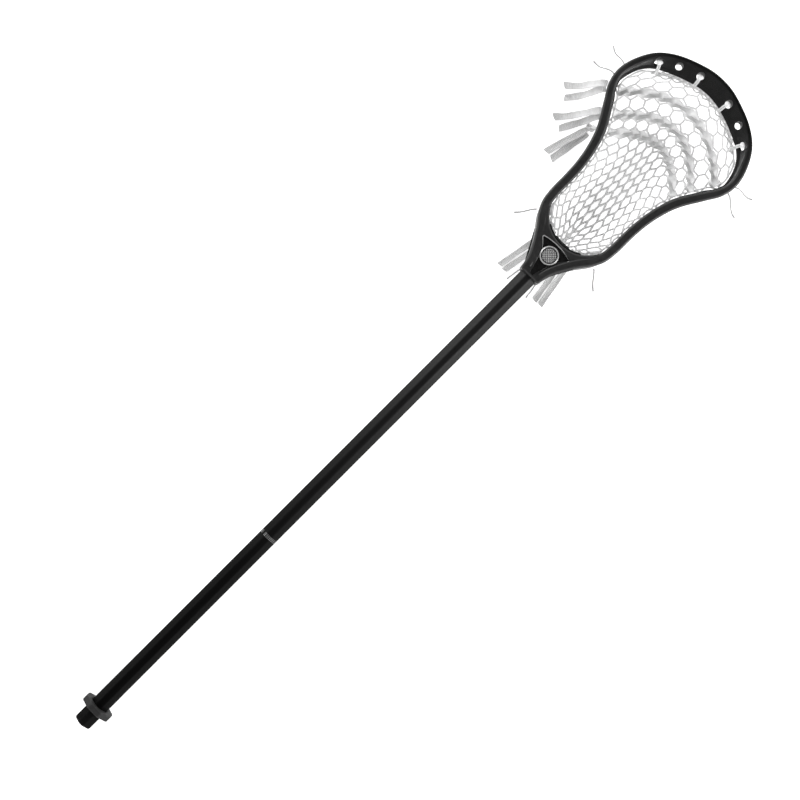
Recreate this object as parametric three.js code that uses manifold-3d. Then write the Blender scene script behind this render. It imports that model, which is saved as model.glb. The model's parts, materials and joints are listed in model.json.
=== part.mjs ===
// A field lacrosse stick lying face up: moulded head, strung mesh pocket, octagonal shaft, rubber end cap.
// Units are millimetres and +Z is up. The stick's own frame has its origin on the shaft's axis at the mouth
// of the head's socket, +X towards the tip of the scoop, +Y across the head and +Z out of its open face. The
// stick group is then tilted a little, so that the pocket and the end cap's flange both rest on Z = 0.
import * as THREE from 'three';
import { mergeVertices } from 'three/addons/utils/BufferGeometryUtils.js';
import Module from 'manifold-3d';

const wasm = await Module();
wasm.setup();

// ---- Driving dimensions ----
const GAP = 0.35; // clearance between pieces that touch

const SHAFT_LENGTH = 762;
const SHAFT_HALF_WIDTH = 11.15;
const SHAFT_HALF_HEIGHT = 12.4;
const SHAFT_TOP_FLAT = 3.25; // half width of the top and bottom flats
const SHAFT_SIDE_FLAT = 4.5; // half height of the side flats
const SHAFT_WALL = 1.4;
const SOCKET_DEPTH = 49;

const FLANGE_APOTHEM = 19.25;
const FLANGE_THICKNESS = 8;
const FLANGE_CHAMFER = 1;
const FLANGE_GROOVE = 5.4; // the shaft's end sits this deep in the flange
const STUB_LENGTH = 21.6;
const STUB_CHAMFER = 2;
const PLUG_LENGTH = 32;
const PLUG_CLEARANCE = 0.4;

const TIP_X = 311.5;
const SCOOP_LIP = 2.2; // how far the scoop's top edge flares out past the outline
const SCOOP_LEAN = 14.1; // how far its plate leans inwards from its top edge to its lower edge
const SCOOP_LOWER_Z = 8;
const SCOOP_THICKNESS = 4.6;
const SCOOP_FULL_X = 300; // beyond this the hoop's section is all scoop
const WALL_FULL_X = 262; // below this it is all sidewall

const TOP_RAIL_HEIGHT = 6;
const BOTTOM_RAIL_WIDTH = 9;
const BOTTOM_RAIL_HEIGHT = 5.5;
const RAIL_BEVEL = 1.8;
const WEB_INSET = 3.9;
const WEB_THICKNESS = 3.2;

const BALL_STOP_CENTRE_X = 95.2;
const BALL_STOP_RADIUS = 43.7;
const PAD_THICKNESS = 3.2;
const PAD_HALF_ANGLE = 0.62;

const THROAT_TOP_Z = 20;
const THROAT_BOTTOM_Z = -17.5;
const THROAT_CHAMFER = 1.8;
const THROAT_MOUTH_HALF_WIDTH = 13.2;
const THROAT_END_X = 76; // where the ball stop's arc runs out into the sidewalls
const RECESS_FLOOR_Z = 16.4;
const BADGE_X = 32.8;
const BADGE_RADIUS = 11.3;
const BADGE_RIM = 1.7;
const BADGE_HEIGHT = 2.6;

const SCREW_X = 15;
const SCREW_RADIUS = 2;
const SCREW_HEAD_RADIUS = 3.6;
const SCREW_LENGTH = 11;

const POCKET_THICKNESS = 2.2;
const POCKET_TOP_X = 297;
const POCKET_BOTTOM_X = 56;
const STRING_RADIUS = 1.2;
const LACE_RADIUS = 2;
const SHOOTING_TAIL_HALF_WIDTH = 4.6;
const BOTTOM_TAIL_HALF_WIDTH = 3.9;
const LACE_HALF_THICKNESS = 0.8;
const STRING_TAIL_RADIUS = 0.9;

const REST_X = 160; // where the pocket rests on the floor
const REST_Z = -42;

// ---- Colours ----
function finish(color, roughness, metalness = 0) {
  return new THREE.MeshStandardMaterial({ color, roughness, metalness });
}
const HEAD_PLASTIC = finish(0x262728, 0.5);
const SHAFT_PAINT = finish(0x2c2d2f, 0.4, 0.5);
const RUBBER = finish(0x161616, 0.85);
const FOAM = finish(0x0f0f0f, 0.9);
const SILVER = finish(0xa9abad, 0.35, 0.7);
const BADGE_GREY = finish(0x6e7072, 0.5);
const STEEL = finish(0x9a9a9a, 0.35, 0.9);
const MESH_WHITE = finish(0xf2f2f0, 0.85);
const STRING_WHITE = finish(0xe6e6e4, 0.8);
const LACE_WHITE = finish(0xdcdcdc, 0.9);

// ---- Helpers ----
const smoothstep = (t) => {
  const c = Math.min(1, Math.max(0, t));
  return c * c * (3 - 2 * c);
};

// A smooth height curve through [x, height] points, as a function of x.
function heightCurve(points) {
  const slope = points.map((_, i) => {
    const a = points[Math.max(0, i - 1)];
    const b = points[Math.min(points.length - 1, i + 1)];
    return (b[1] - a[1]) / (b[0] - a[0]);
  });
  return (x) => {
    const last = points.length - 2;
    let i = 0;
    while (i < last && x > points[i + 1][0]) i += 1;
    const span = points[i + 1][0] - points[i][0];
    const t = Math.min(1, Math.max(0, (x - points[i][0]) / span));
    const t2 = t * t;
    const t3 = t2 * t;
    const start = (2 * t3 - 3 * t2 + 1) * points[i][1] + (t3 - 2 * t2 + t) * span * slope[i];
    const end = (3 * t2 - 2 * t3) * points[i + 1][1] + (t3 - t2) * span * slope[i + 1];
    return start + end;
  };
}

// Two ways to close the end of a loft: over a flat section, or straight across a thin one that may be curved.
// Each gives triangles that go round the same way as the ring.
function flatEnd(ring) {
  const flat = ring.map((p) => new THREE.Vector2(p.u, p.w));
  const turn = Math.sign(THREE.ShapeUtils.area(flat));
  return THREE.ShapeUtils.triangulateShape(flat, []).map(([a, b, c]) => {
    const along = Math.sign(THREE.ShapeUtils.area([flat[a], flat[b], flat[c]])) === turn;
    return along ? [a, b, c] : [a, c, b];
  });
}

function thinEnd(ring) {
  const last = ring.length - 1;
  const triangles = [];
  for (let j = 0; j < (last - 1) / 2; j += 1) {
    triangles.push([j, j + 1, last - j - 1], [j, last - j - 1, last - j]);
  }
  return triangles;
}

// Joins closed rings of points into one closed body.
function loft(rings, closeEnd = flatEnd) {
  const count = rings[0].length;
  const positions = rings.flatMap((ring) => ring.flatMap((p) => [p.x, p.y, p.z]));
  const index = [];
  for (let i = 0; i < rings.length - 1; i += 1) {
    for (let j = 0; j < count; j += 1) {
      const k = (j + 1) % count;
      const a = i * count;
      const b = a + count;
      index.push(a + j, a + k, b + k, a + j, b + k, b + j);
    }
  }
  const lastStart = (rings.length - 1) * count;
  closeEnd(rings[0]).forEach(([a, b, c]) => index.push(a, c, b));
  closeEnd(rings.at(-1)).forEach((face) => index.push(...face.map((i) => i + lastStart)));
  const corner = (i) => new THREE.Vector3().fromArray(positions, index[i] * 3);
  let volume = 0;
  for (let i = 0; i < index.length; i += 3) {
    volume += corner(i).dot(corner(i + 1).cross(corner(i + 2)));
  }
  if (volume < 0) index.reverse();
  const geometry = new THREE.BufferGeometry();
  geometry.setAttribute('position', new THREE.Float32BufferAttribute(positions, 3));
  geometry.setIndex(index);
  return geometry;
}

function toSolid(geometry) {
  const plain = geometry.clone();
  plain.deleteAttribute('normal');
  plain.deleteAttribute('uv');
  const merged = mergeVertices(plain, 1e-4);
  const mesh = new wasm.Mesh({
    numProp: 3,
    vertProperties: new Float32Array(merged.attributes.position.array),
    triVerts: new Uint32Array(merged.index.array),
  });
  return new wasm.Manifold(mesh);
}

function toGeometry(solid) {
  const mesh = solid.getMesh();
  const geometry = new THREE.BufferGeometry();
  geometry.setAttribute('position', new THREE.BufferAttribute(new Float32Array(mesh.vertProperties), 3));
  geometry.setIndex(new THREE.BufferAttribute(new Uint32Array(mesh.triVerts), 1));
  return geometry;
}

const cut = (solid, ...tools) => tools.reduce((left, tool) => left.subtract(toSolid(tool)), solid);

function part(name, geometry, material) {
  const mesh = new THREE.Mesh(geometry, material);
  mesh.name = name;
  return mesh;
}

// A straight prism of a Y-Z section, from x = start to x = start + length.
function alongX(shape, start, length, bevel = 0) {
  const geometry = new THREE.ExtrudeGeometry(shape, {
    depth: length - 2 * bevel,
    bevelEnabled: bevel > 0,
    bevelThickness: bevel,
    bevelSize: bevel,
    bevelOffset: -bevel,
    bevelSegments: 1,
  });
  geometry.translate(0, 0, bevel);
  geometry.rotateX(Math.PI / 2);
  geometry.rotateZ(Math.PI / 2);
  return geometry.translate(start, 0, 0);
}

// A prism of an X-Y section, from z = low to z = high.
function alongZ(shape, low, high, bevel = 0, curveSegments = 20) {
  const geometry = new THREE.ExtrudeGeometry(shape, {
    depth: high - low - 2 * bevel,
    bevelEnabled: bevel > 0,
    bevelThickness: bevel,
    bevelSize: bevel,
    bevelOffset: -bevel,
    bevelSegments: 1,
    curveSegments,
  });
  return geometry.translate(0, 0, low + bevel);
}

// A prism of an X-Z section that runs right across the head.
function acrossY(shape) {
  const reach = 130;
  const extrusion = { depth: 2 * reach, bevelEnabled: false, curveSegments: 2 };
  const geometry = new THREE.ExtrudeGeometry(shape, extrusion);
  geometry.translate(0, 0, -reach);
  return geometry.rotateX(Math.PI / 2);
}

function ellipse(radiusA, radiusB, sides) {
  const shape = new THREE.Shape();
  for (let i = 0; i < sides; i += 1) {
    const angle = ((i + 0.5) * 2 * Math.PI) / sides;
    const x = radiusA * Math.cos(angle);
    const y = radiusB * Math.sin(angle);
    if (i === 0) shape.moveTo(x, y);
    else shape.lineTo(x, y);
  }
  return shape;
}

// A smooth curve whose section keeps its own X axis as near to straight up as the curve allows.
class LevelCurve extends THREE.CatmullRomCurve3 {
  computeFrenetFrames(segments) {
    const tangents = [];
    const normals = [];
    const binormals = [];
    for (let i = 0; i <= segments; i += 1) {
      const tangent = this.getTangentAt(i / segments);
      const normal = new THREE.Vector3(0, 0, 1).addScaledVector(tangent, -tangent.z).normalize();
      tangents.push(tangent);
      normals.push(normal);
      binormals.push(new THREE.Vector3().crossVectors(tangent, normal));
    }
    return { tangents, normals, binormals };
  }
}

// A tube of a round or flat section along a smooth curve through the given points.
function tube(points, section, steps) {
  const path = new LevelCurve(points, false, 'centripetal');
  return new THREE.ExtrudeGeometry(section, { steps, bevelEnabled: false, extrudePath: path });
}

const vector = ([x, y, z]) => new THREE.Vector3(x, y, z);

// ---- The head's lines ----
// Half of the outer edge of the top rail, from the throat to the tip.
const OUTLINE = [
  [6, 15], [18, 18.5], [32, 25.5], [46, 34.3], [60, 44.5], [73, 51], [90, 53.5], [115, 53.9], [136, 55.4],
  [157, 59.5], [177.5, 66.6], [204.8, 82.7], [222, 92.8], [238.4, 96.3], [254, 93.8], [271.4, 85.8],
  [284.5, 74.7], [296.5, 56], [305.5, 33], [310.6, 12],
];
const TOP_EDGE = heightCurve([
  [0, 16.8], [18, 19.2], [45, 20], [78, 17.8], [120, 17.3], [165, 19.5], [211, 24], [252, 29.5], [282, 34.7],
  [TIP_X, 40.5],
]);
const BOTTOM_EDGE = heightCurve([
  [0, -16.8], [30, -17.5], [60, -18.5], [95, -21], [130, -22], [170, -20.5], [205, -16.5], [240, -9.5],
  [270, -1], [TIP_X, 12],
]);
const TOP_RAIL_WIDTH = heightCurve([
  [0, 10], [60, 11.2], [140, 11.3], [185, 10.8], [215, 9.6], [238, 8.8], [300, 8.8],
]);

const outlinePoints = [
  ...OUTLINE.map(([x, y]) => new THREE.Vector3(x, -y, 0)),
  ...OUTLINE.toReversed().map(([x, y]) => new THREE.Vector3(x, y, 0)),
];
const outline = new THREE.CatmullRomCurve3(outlinePoints, false, 'centripetal');
outline.arcLengthDivisions = 800;

// The place, inward normal and heights of the hoop at a fraction of the way round it.
function station(fraction) {
  const place = outline.getPointAt(fraction);
  const tangent = outline.getTangentAt(fraction);
  const inward = new THREE.Vector3(-tangent.y, tangent.x, 0).normalize();
  const top = TOP_EDGE(place.x);
  const bottom = BOTTOM_EDGE(place.x);
  // The lower rail steps inwards where the hoop narrows towards the throat.
  const lean = 1 + 9 * Math.max(0, inward.x);
  return { place, inward, top, bottom, lean };
}

// The sidewall's section as [distance inwards, height], from the outer top edge round the inside.
function wallSection({ place, top, bottom, lean }) {
  const width = TOP_RAIL_WIDTH(place.x);
  const webIn = WEB_INSET + WEB_THICKNESS;
  return [
    [0, top - RAIL_BEVEL], [RAIL_BEVEL, top], [width - RAIL_BEVEL, top], [width, top - RAIL_BEVEL],
    [width, top - TOP_RAIL_HEIGHT], [webIn, top - TOP_RAIL_HEIGHT - 2], [webIn + lean - 1, bottom + 8],
    [lean + BOTTOM_RAIL_WIDTH, bottom + BOTTOM_RAIL_HEIGHT], [lean + BOTTOM_RAIL_WIDTH, bottom + RAIL_BEVEL],
    [lean + BOTTOM_RAIL_WIDTH - RAIL_BEVEL, bottom], [lean + RAIL_BEVEL, bottom], [lean, bottom + RAIL_BEVEL],
    [lean, bottom + BOTTOM_RAIL_HEIGHT], [WEB_INSET + lean - 1, bottom + 8],
    [WEB_INSET, top - TOP_RAIL_HEIGHT - 2], [0, top - TOP_RAIL_HEIGHT],
  ];
}

// The scoop's section: a plate that leans inwards as it goes down, with the same number of corners.
const SCOOP_CORNERS = [
  [0.05, 0], [0, 0.3], [0, 0.8], [0.05, 1], [0.2, 1], [0.35, 1], [0.7, 1], [0.82, 1], [0.94, 1], [1, 0.75],
  [1, 0.25], [0.94, 0], [0.82, 0], [0.7, 0], [0.35, 0], [0.2, 0],
];

function scoopPoint({ top }, along, across) {
  const drop = top - SCOOP_LOWER_Z;
  const slant = Math.hypot(drop, SCOOP_LEAN);
  const inwards = along * SCOOP_LEAN - SCOOP_LIP + (across * SCOOP_THICKNESS * drop) / slant;
  const height = top - along * drop + (across * SCOOP_THICKNESS * SCOOP_LEAN) / slant;
  return [inwards, height];
}

const toFrame = ({ place, inward }, [inwards, z]) => {
  const point = place.clone().addScaledVector(inward, inwards);
  point.z = z;
  point.u = inwards;
  point.w = z;
  return point;
};

const HOOP_STATIONS = 72;
const hoopRings = [];
for (let i = 0; i <= HOOP_STATIONS; i += 1) {
  const here = station(i / HOOP_STATIONS);
  const wall = wallSection(here);
  const share = smoothstep((SCOOP_FULL_X - here.place.x) / (SCOOP_FULL_X - WALL_FULL_X));
  hoopRings.push(wall.map(([inwards, z], j) => {
    const [scoopIn, scoopZ] = scoopPoint(here, ...SCOOP_CORNERS[j]);
    return toFrame(here, [scoopIn + (inwards - scoopIn) * share, scoopZ + (z - scoopZ) * share]);
  }));
}

// ---- Head frame: one moulding of hoop, throat and socket ----
function shaftSection(grow) {
  const shape = new THREE.Shape();
  // Moving every face out by the same distance moves a 45-degree corner by this share of it.
  const corner = grow * Math.tan(Math.PI / 8);
  const width = SHAFT_HALF_WIDTH + grow;
  const height = SHAFT_HALF_HEIGHT + grow;
  const top = SHAFT_TOP_FLAT + corner;
  const side = SHAFT_SIDE_FLAT + corner;
  const corners = [
    [width, side], [top, height], [-top, height], [-width, side], [-width, -side], [-top, -height],
    [top, -height], [width, -side],
  ];
  corners.forEach(([y, z], i) => (i === 0 ? shape.moveTo(y, z) : shape.lineTo(y, z)));
  shape.closePath();
  return shape;
}

function throatShape() {
  const inset = 1;
  const side = OUTLINE.filter(([x]) => x > 5 && x < 74).map(([x, y]) => [x, y - inset]);
  const shape = new THREE.Shape();
  shape.moveTo(0, -THROAT_MOUTH_HALF_WIDTH);
  side.forEach(([x, y]) => shape.lineTo(x, -y));
  const end = Math.acos((BALL_STOP_CENTRE_X - THROAT_END_X) / BALL_STOP_RADIUS);
  shape.absarc(BALL_STOP_CENTRE_X, 0, BALL_STOP_RADIUS, Math.PI + end, Math.PI - end, true);
  side.toReversed().forEach(([x, y]) => shape.lineTo(x, y));
  shape.lineTo(0, THROAT_MOUTH_HALF_WIDTH);
  shape.closePath();
  return shape;
}

function recessShape() {
  const shape = new THREE.Shape();
  shape.moveTo(3, -2.4);
  shape.lineTo(19.4, -7);
  shape.lineTo(34, -10.8);
  shape.lineTo(44.5, -21.5);
  shape.quadraticCurveTo(47.5, -8, 47.5, 0);
  shape.quadraticCurveTo(47.5, 8, 44.5, 21.5);
  shape.lineTo(34, 10.8);
  shape.lineTo(19.4, 7);
  shape.lineTo(3, 2.4);
  shape.closePath();
  return shape;
}

function windowShape(low, high, slant) {
  const middle = (low + high) / 2;
  const top = TOP_EDGE(middle) - TOP_RAIL_HEIGHT - 3.5;
  const bottom = BOTTOM_EDGE(middle) + 9.5;
  const corner = 2.5;
  const shape = new THREE.Shape();
  shape.moveTo(low + corner, bottom);
  shape.lineTo(high - corner, bottom);
  shape.quadraticCurveTo(high, bottom, high + slant / 4, bottom + corner);
  shape.lineTo(high + slant, top - corner);
  shape.quadraticCurveTo(high + slant, top, high + slant - corner, top);
  shape.lineTo(low + slant + corner, top);
  shape.quadraticCurveTo(low + slant, top, low + slant, top - corner);
  shape.lineTo(low, bottom + corner);
  shape.quadraticCurveTo(low, bottom, low + corner, bottom);
  return shape;
}

const WINDOWS = [[84, 104, 4], [114, 134, 4], [144, 163, 4], [173, 190, 4], [199, 212, 4]];
const STRING_HOLES_X = [80, 97, 114, 131, 148, 165, 182, 199, 216, 232];
const STRING_HOLE_RADIUS = 1.9;
const STRING_HOLE_HEIGHT = 3.4; // above the lower edge
const SCOOP_HOLES_Y = [-73.8, -51.3, -24.9, 24.9, 51.3, 73.8];
const TOP_KNOTS_Y = [-73.8, -24.9, 24.9, 73.8]; // the middle hole on each side stays empty
const SCOOP_HOLE_INSET = 7.9; // the holes are upright, so this is how far in they are when seen from above
const SCOOP_HOLE_RADII = [2.9, 4.5];
const SCOOP_HOLE_LOW_Z = 10;
const SCOOP_HOLE_HEIGHT = 50; // past the top of the scoop
const KNOT_ALONG = 0.3; // how far down the scoop's face the knots' heads are

// The fraction of the way round the hoop where the outline crosses a given y, within a bracket.
function fractionWhere(reached, low, high) {
  let a = low;
  let b = high;
  for (let i = 0; i < 40; i += 1) {
    const middle = (a + b) / 2;
    if (reached(outline.getPointAt(middle))) b = middle;
    else a = middle;
  }
  return (a + b) / 2;
}

const scoopStation = (y) => station(fractionWhere((p) => p.y > y, 0.3, 0.7));

// An upright oval hole through the scoop's plate.
function scoopHole(y) {
  const here = scoopStation(y);
  const along = new THREE.Vector3(-here.inward.y, here.inward.x, 0);
  const centre = toFrame(here, [SCOOP_HOLE_INSET, SCOOP_HOLE_LOW_Z]);
  const axes = new THREE.Matrix4().makeBasis(here.inward, along, new THREE.Vector3(0, 0, 1));
  const section = ellipse(...SCOOP_HOLE_RADII, 12);
  const hole = new THREE.ExtrudeGeometry(section, { depth: SCOOP_HOLE_HEIGHT, bevelEnabled: false });
  return hole.applyMatrix4(axes.setPosition(centre));
}

// A knot's own axes: Z out of the scoop's inner face, X down along it, Y round the hoop.
function knotFrame(y) {
  const here = scoopStation(y);
  const top = toFrame(here, scoopPoint(here, 0, 1));
  const centre = toFrame(here, scoopPoint(here, KNOT_ALONG, 1));
  const down = centre.clone().sub(top).normalize();
  const along = new THREE.Vector3(-here.inward.y, here.inward.x, 0);
  const out = new THREE.Vector3().crossVectors(down, along);
  if (out.dot(here.inward) < 0) {
    along.negate();
    out.negate();
  }
  return new THREE.Matrix4().makeBasis(down, along, out).setPosition(centre);
}

function headFrame() {
  const throat = toSolid(alongZ(throatShape(), THROAT_BOTTOM_Z, THROAT_TOP_Z, THROAT_CHAMFER));
  const windows = WINDOWS.map((window) => acrossY(windowShape(...window)));
  const stringHoles = STRING_HOLES_X.map((x) => {
    const hole = acrossY(ellipse(STRING_HOLE_RADIUS, STRING_HOLE_RADIUS, 6));
    return hole.translate(x, 0, BOTTOM_EDGE(x) + STRING_HOLE_HEIGHT);
  });
  const scoopHoles = SCOOP_HOLES_Y.map(scoopHole);
  const socket = alongX(shaftSection(GAP), -5, SOCKET_DEPTH + 5 + GAP);
  const recess = alongZ(recessShape(), RECESS_FLOOR_Z, THROAT_TOP_Z + 5);
  const badgeSeat = new THREE.CylinderGeometry(BADGE_RADIUS + GAP, BADGE_RADIUS + GAP, 10, 36);
  badgeSeat.rotateX(Math.PI / 2).translate(BADGE_X, 0, RECESS_FLOOR_Z + 5);
  const screwHole = new THREE.CylinderGeometry(SCREW_RADIUS + GAP, SCREW_RADIUS + GAP, 12, 12);
  screwHole.rotateX(Math.PI / 2).translate(SCREW_X, 0, THROAT_BOTTOM_Z + 2);
  const headSeat = new THREE.CylinderGeometry(SCREW_HEAD_RADIUS + GAP, SCREW_HEAD_RADIUS + GAP, 5, 16);
  headSeat.rotateX(Math.PI / 2).translate(SCREW_X, 0, THROAT_BOTTOM_Z - 0.5);
  const body = toSolid(loft(hoopRings)).add(throat);
  const tools = [socket, recess, badgeSeat, screwHole, headSeat, ...windows, ...stringHoles, ...scoopHoles];
  return part('head_frame', toGeometry(cut(body, ...tools)), HEAD_PLASTIC);
}

function ballStop() {
  const outer = BALL_STOP_RADIUS - GAP;
  const inner = outer - PAD_THICKNESS;
  const shape = new THREE.Shape();
  shape.absarc(BALL_STOP_CENTRE_X, 0, outer, Math.PI - PAD_HALF_ANGLE, Math.PI + PAD_HALF_ANGLE, false);
  shape.absarc(BALL_STOP_CENTRE_X, 0, inner, Math.PI + PAD_HALF_ANGLE, Math.PI - PAD_HALF_ANGLE, true);
  return part('ball_stop_pad', alongZ(shape, -4, THROAT_TOP_Z - 2.5, 0.8, 10), FOAM);
}

function badge() {
  const outer = new THREE.Shape().absarc(0, 0, BADGE_RADIUS, 0, 2 * Math.PI);
  outer.holes.push(new THREE.Path().absarc(0, 0, BADGE_RADIUS - BADGE_RIM, 0, 2 * Math.PI, true));
  const low = RECESS_FLOOR_Z + GAP;
  const ring = alongZ(outer, low, low + BADGE_HEIGHT).translate(BADGE_X, 0, 0);
  const faceRadius = BADGE_RADIUS - BADGE_RIM - GAP;
  const face = alongZ(new THREE.Shape().absarc(0, 0, faceRadius, 0, 2 * Math.PI), low, low + BADGE_HEIGHT - 0.8);
  return [part('badge_ring', ring, SILVER), part('badge_face', face.translate(BADGE_X, 0, 0), BADGE_GREY)];
}

function headScrew() {
  const headTop = THROAT_BOTTOM_Z + 2 - GAP;
  const profile = [
    [0, 0], [SCREW_RADIUS, 0], [SCREW_RADIUS, SCREW_LENGTH - 2], [SCREW_HEAD_RADIUS, SCREW_LENGTH - 2],
    [SCREW_HEAD_RADIUS, SCREW_LENGTH - 0.6], [SCREW_HEAD_RADIUS - 1, SCREW_LENGTH], [0, SCREW_LENGTH],
  ].map(([r, y]) => new THREE.Vector2(r, y));
  const screw = new THREE.LatheGeometry(profile, 12).rotateX(-Math.PI / 2);
  return part('head_screw', screw.translate(SCREW_X, 0, headTop + SCREW_LENGTH - 2), STEEL);
}

// ---- Shaft and end cap ----
const SHAFT_FRONT_X = SOCKET_DEPTH;
const SHAFT_BACK_X = SOCKET_DEPTH - SHAFT_LENGTH;
const FLANGE_FRONT_X = SHAFT_BACK_X + FLANGE_GROOVE;
const FLANGE_BACK_X = FLANGE_FRONT_X - FLANGE_THICKNESS;

function shaft() {
  const section = shaftSection(0);
  section.holes.push(new THREE.Path(shaftSection(-SHAFT_WALL).getPoints().toReversed()));
  const body = toSolid(alongX(section, SHAFT_BACK_X, SHAFT_LENGTH));
  const hole = new THREE.CylinderGeometry(SCREW_RADIUS + GAP, SCREW_RADIUS + GAP, 8, 12);
  hole.rotateX(Math.PI / 2).translate(SCREW_X, 0, -SHAFT_HALF_HEIGHT);
  return part('shaft', toGeometry(cut(body, hole)), SHAFT_PAINT);
}

function endCap() {
  const flangeRadius = FLANGE_APOTHEM / Math.cos(Math.PI / 8);
  const octagon = ellipse(flangeRadius, flangeRadius, 8);
  const flange = toSolid(alongX(octagon, FLANGE_BACK_X, FLANGE_THICKNESS, FLANGE_CHAMFER));
  const stubLength = STUB_LENGTH + 2;
  const stub = toSolid(alongX(shaftSection(-0.15), FLANGE_BACK_X - STUB_LENGTH, stubLength, STUB_CHAMFER));
  const grooveLength = FLANGE_GROOVE + 5;
  const groove = alongX(shaftSection(GAP), SHAFT_BACK_X - GAP, grooveLength);
  const plugLength = PLUG_LENGTH + 2;
  const plug = toSolid(alongX(shaftSection(-SHAFT_WALL - PLUG_CLEARANCE), SHAFT_BACK_X - 2, plugLength, 1));
  return part('end_cap', toGeometry(cut(flange.add(stub), groove).add(plug)), RUBBER);
}

// ---- Pocket ----
// The floor under the tilted stick, as a height in the stick's own frame.
const FLANGE_REST_X = (FLANGE_FRONT_X + FLANGE_BACK_X) / 2;
const FLOOR_SLOPE = (REST_Z + FLANGE_APOTHEM) / (REST_X - FLANGE_REST_X);
const floorAt = (x) => -FLANGE_APOTHEM + (x - FLANGE_REST_X) * FLOOR_SLOPE;

// Depth of the pocket's middle line below the shaft's axis.
const POCKET_DEPTH = heightCurve([
  [POCKET_BOTTOM_X, -13], [66, -21], [85, -32], [115, -41], [150, -45.5], [190, -44.5], [230, -37],
  [262, -24.5],
  [285, -7], [POCKET_TOP_X, 7],
]);
const POCKET_EDGE_INSET = BOTTOM_RAIL_WIDTH + 5;
const SIDE_STRING_INSET = BOTTOM_RAIL_WIDTH + 1.8;

// How much further back a row of the mesh meets the sidewall than it crosses the middle line.
const rowSag = (u) => -25 + 141 * u - 81 * u * u;

// The fraction round the left half of the hoop whose pocket edge is at x.
function sideFraction(x, inset) {
  const edgeX = (fraction) => {
    const here = station(fraction);
    return here.place.x + here.inward.x * (here.lean + inset);
  };
  let a = 0.5;
  let b = 1;
  for (let i = 0; i < 40; i += 1) {
    const middle = (a + b) / 2;
    if (edgeX(middle) < x) b = middle;
    else a = middle;
  }
  return (a + b) / 2;
}

// A point beside the left bottom rail, at a distance inwards from the outline.
function besideRail(x, inset) {
  const here = station(sideFraction(x, inset));
  return toFrame(here, [here.lean + inset, BOTTOM_EDGE(x) + 4]);
}

const EDGE_STEPS = 26;
const edgeTable = [];
for (let i = 0; i <= EDGE_STEPS; i += 1) {
  const u = i / EDGE_STEPS;
  const centreX = POCKET_BOTTOM_X + (POCKET_TOP_X - POCKET_BOTTOM_X) * u;
  edgeTable.push(besideRail(centreX - rowSag(u), POCKET_EDGE_INSET));
}
function pocketEdge(u) {
  const t = u * EDGE_STEPS;
  const i = Math.min(EDGE_STEPS - 1, Math.floor(t));
  return edgeTable[i].clone().lerp(edgeTable[i + 1], t - i);
}

// The mesh surface: u runs from the ball stop (0) to the scoop (1), v from right rail (-1) to left (1).
function pocketPoint(u, v) {
  const edge = pocketEdge(u);
  const centreX = POCKET_BOTTOM_X + (POCKET_TOP_X - POCKET_BOTTOM_X) * u;
  const bow = Math.abs(v) ** 2.4;
  const x = centreX + (edge.x - centreX) * v * v;
  const centreZ = POCKET_DEPTH(centreX);
  const edgeZ = edge.z + (SCOOP_LOWER_Z - 1 - edge.z) * smoothstep((u - 0.86) / 0.14);
  const z = centreZ + (edgeZ - centreZ) * bow;
  return new THREE.Vector3(x, edge.y * v, Math.max(z, floorAt(x) + POCKET_THICKNESS / 2 + 0.05));
}

// The unit normal on the ball's side of the mesh.
function pocketNormal(u, v) {
  const step = 0.004;
  const alongU = pocketPoint(Math.min(1, u + step), v).sub(pocketPoint(Math.max(0, u - step), v));
  const alongV = pocketPoint(u, Math.min(1, v + step)).sub(pocketPoint(u, Math.max(-1, v - step)));
  return alongU.cross(alongV).normalize();
}

const abovePocket = (u, v, lift) => pocketPoint(u, v).addScaledVector(pocketNormal(u, v), lift);

function meshPocket() {
  const rows = 20;
  const columns = 18;
  const half = POCKET_THICKNESS / 2;
  const rings = [];
  for (let i = 0; i <= rows; i += 1) {
    const upper = [];
    const lower = [];
    for (let j = 0; j <= columns; j += 1) {
      const v = (2 * j) / columns - 1;
      upper.push(abovePocket(i / rows, v, half));
      lower.push(abovePocket(i / rows, v, -half));
    }
    rings.push([...lower, ...upper.toReversed()]);
  }
  return part('mesh_pocket', loft(rings, thinEnd), MESH_WHITE);
}

// ---- Strings that the head holds all the way ----
const roundSection = (radius) => ellipse(radius, radius, 8);
const flatSection = (halfWidth) => ellipse(LACE_HALF_THICKNESS, halfWidth, 8);

// Where each shooting lace crosses the middle line, as a share of the pocket's length.
const SHOOTING_ROWS = [0.9, 0.81, 0.705];

function shootingLace(row, index) {
  const points = [];
  const reach = 0.94;
  for (let i = 0; i <= 12; i += 1) {
    const v = reach * ((2 * i) / 12 - 1);
    points.push(abovePocket(row, v, POCKET_THICKNESS / 2 + GAP + LACE_RADIUS));
  }
  return part(`shooting_lace_${index + 1}`, tube(points, roundSection(LACE_RADIUS), 26), LACE_WHITE);
}

function topString() {
  const points = [];
  for (let i = 0; i <= 10; i += 1) {
    const v = 0.8 * ((2 * i) / 10 - 1);
    points.push(pocketPoint(1, v).add(new THREE.Vector3(3.4, 0, -3)));
  }
  return part('top_string', tube(points, roundSection(STRING_RADIUS), 24), STRING_WHITE);
}

const SIDE_STRING_X = [92, 105, 120, 135, 150, 165, 180, 195, 208, 220, 232, 243, 252];

function sideString(name, side) {
  const points = SIDE_STRING_X.map((x) => {
    const point = besideRail(x, SIDE_STRING_INSET);
    point.y *= side;
    return point;
  });
  return part(name, tube(points, roundSection(STRING_RADIUS), 28), STRING_WHITE);
}

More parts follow.
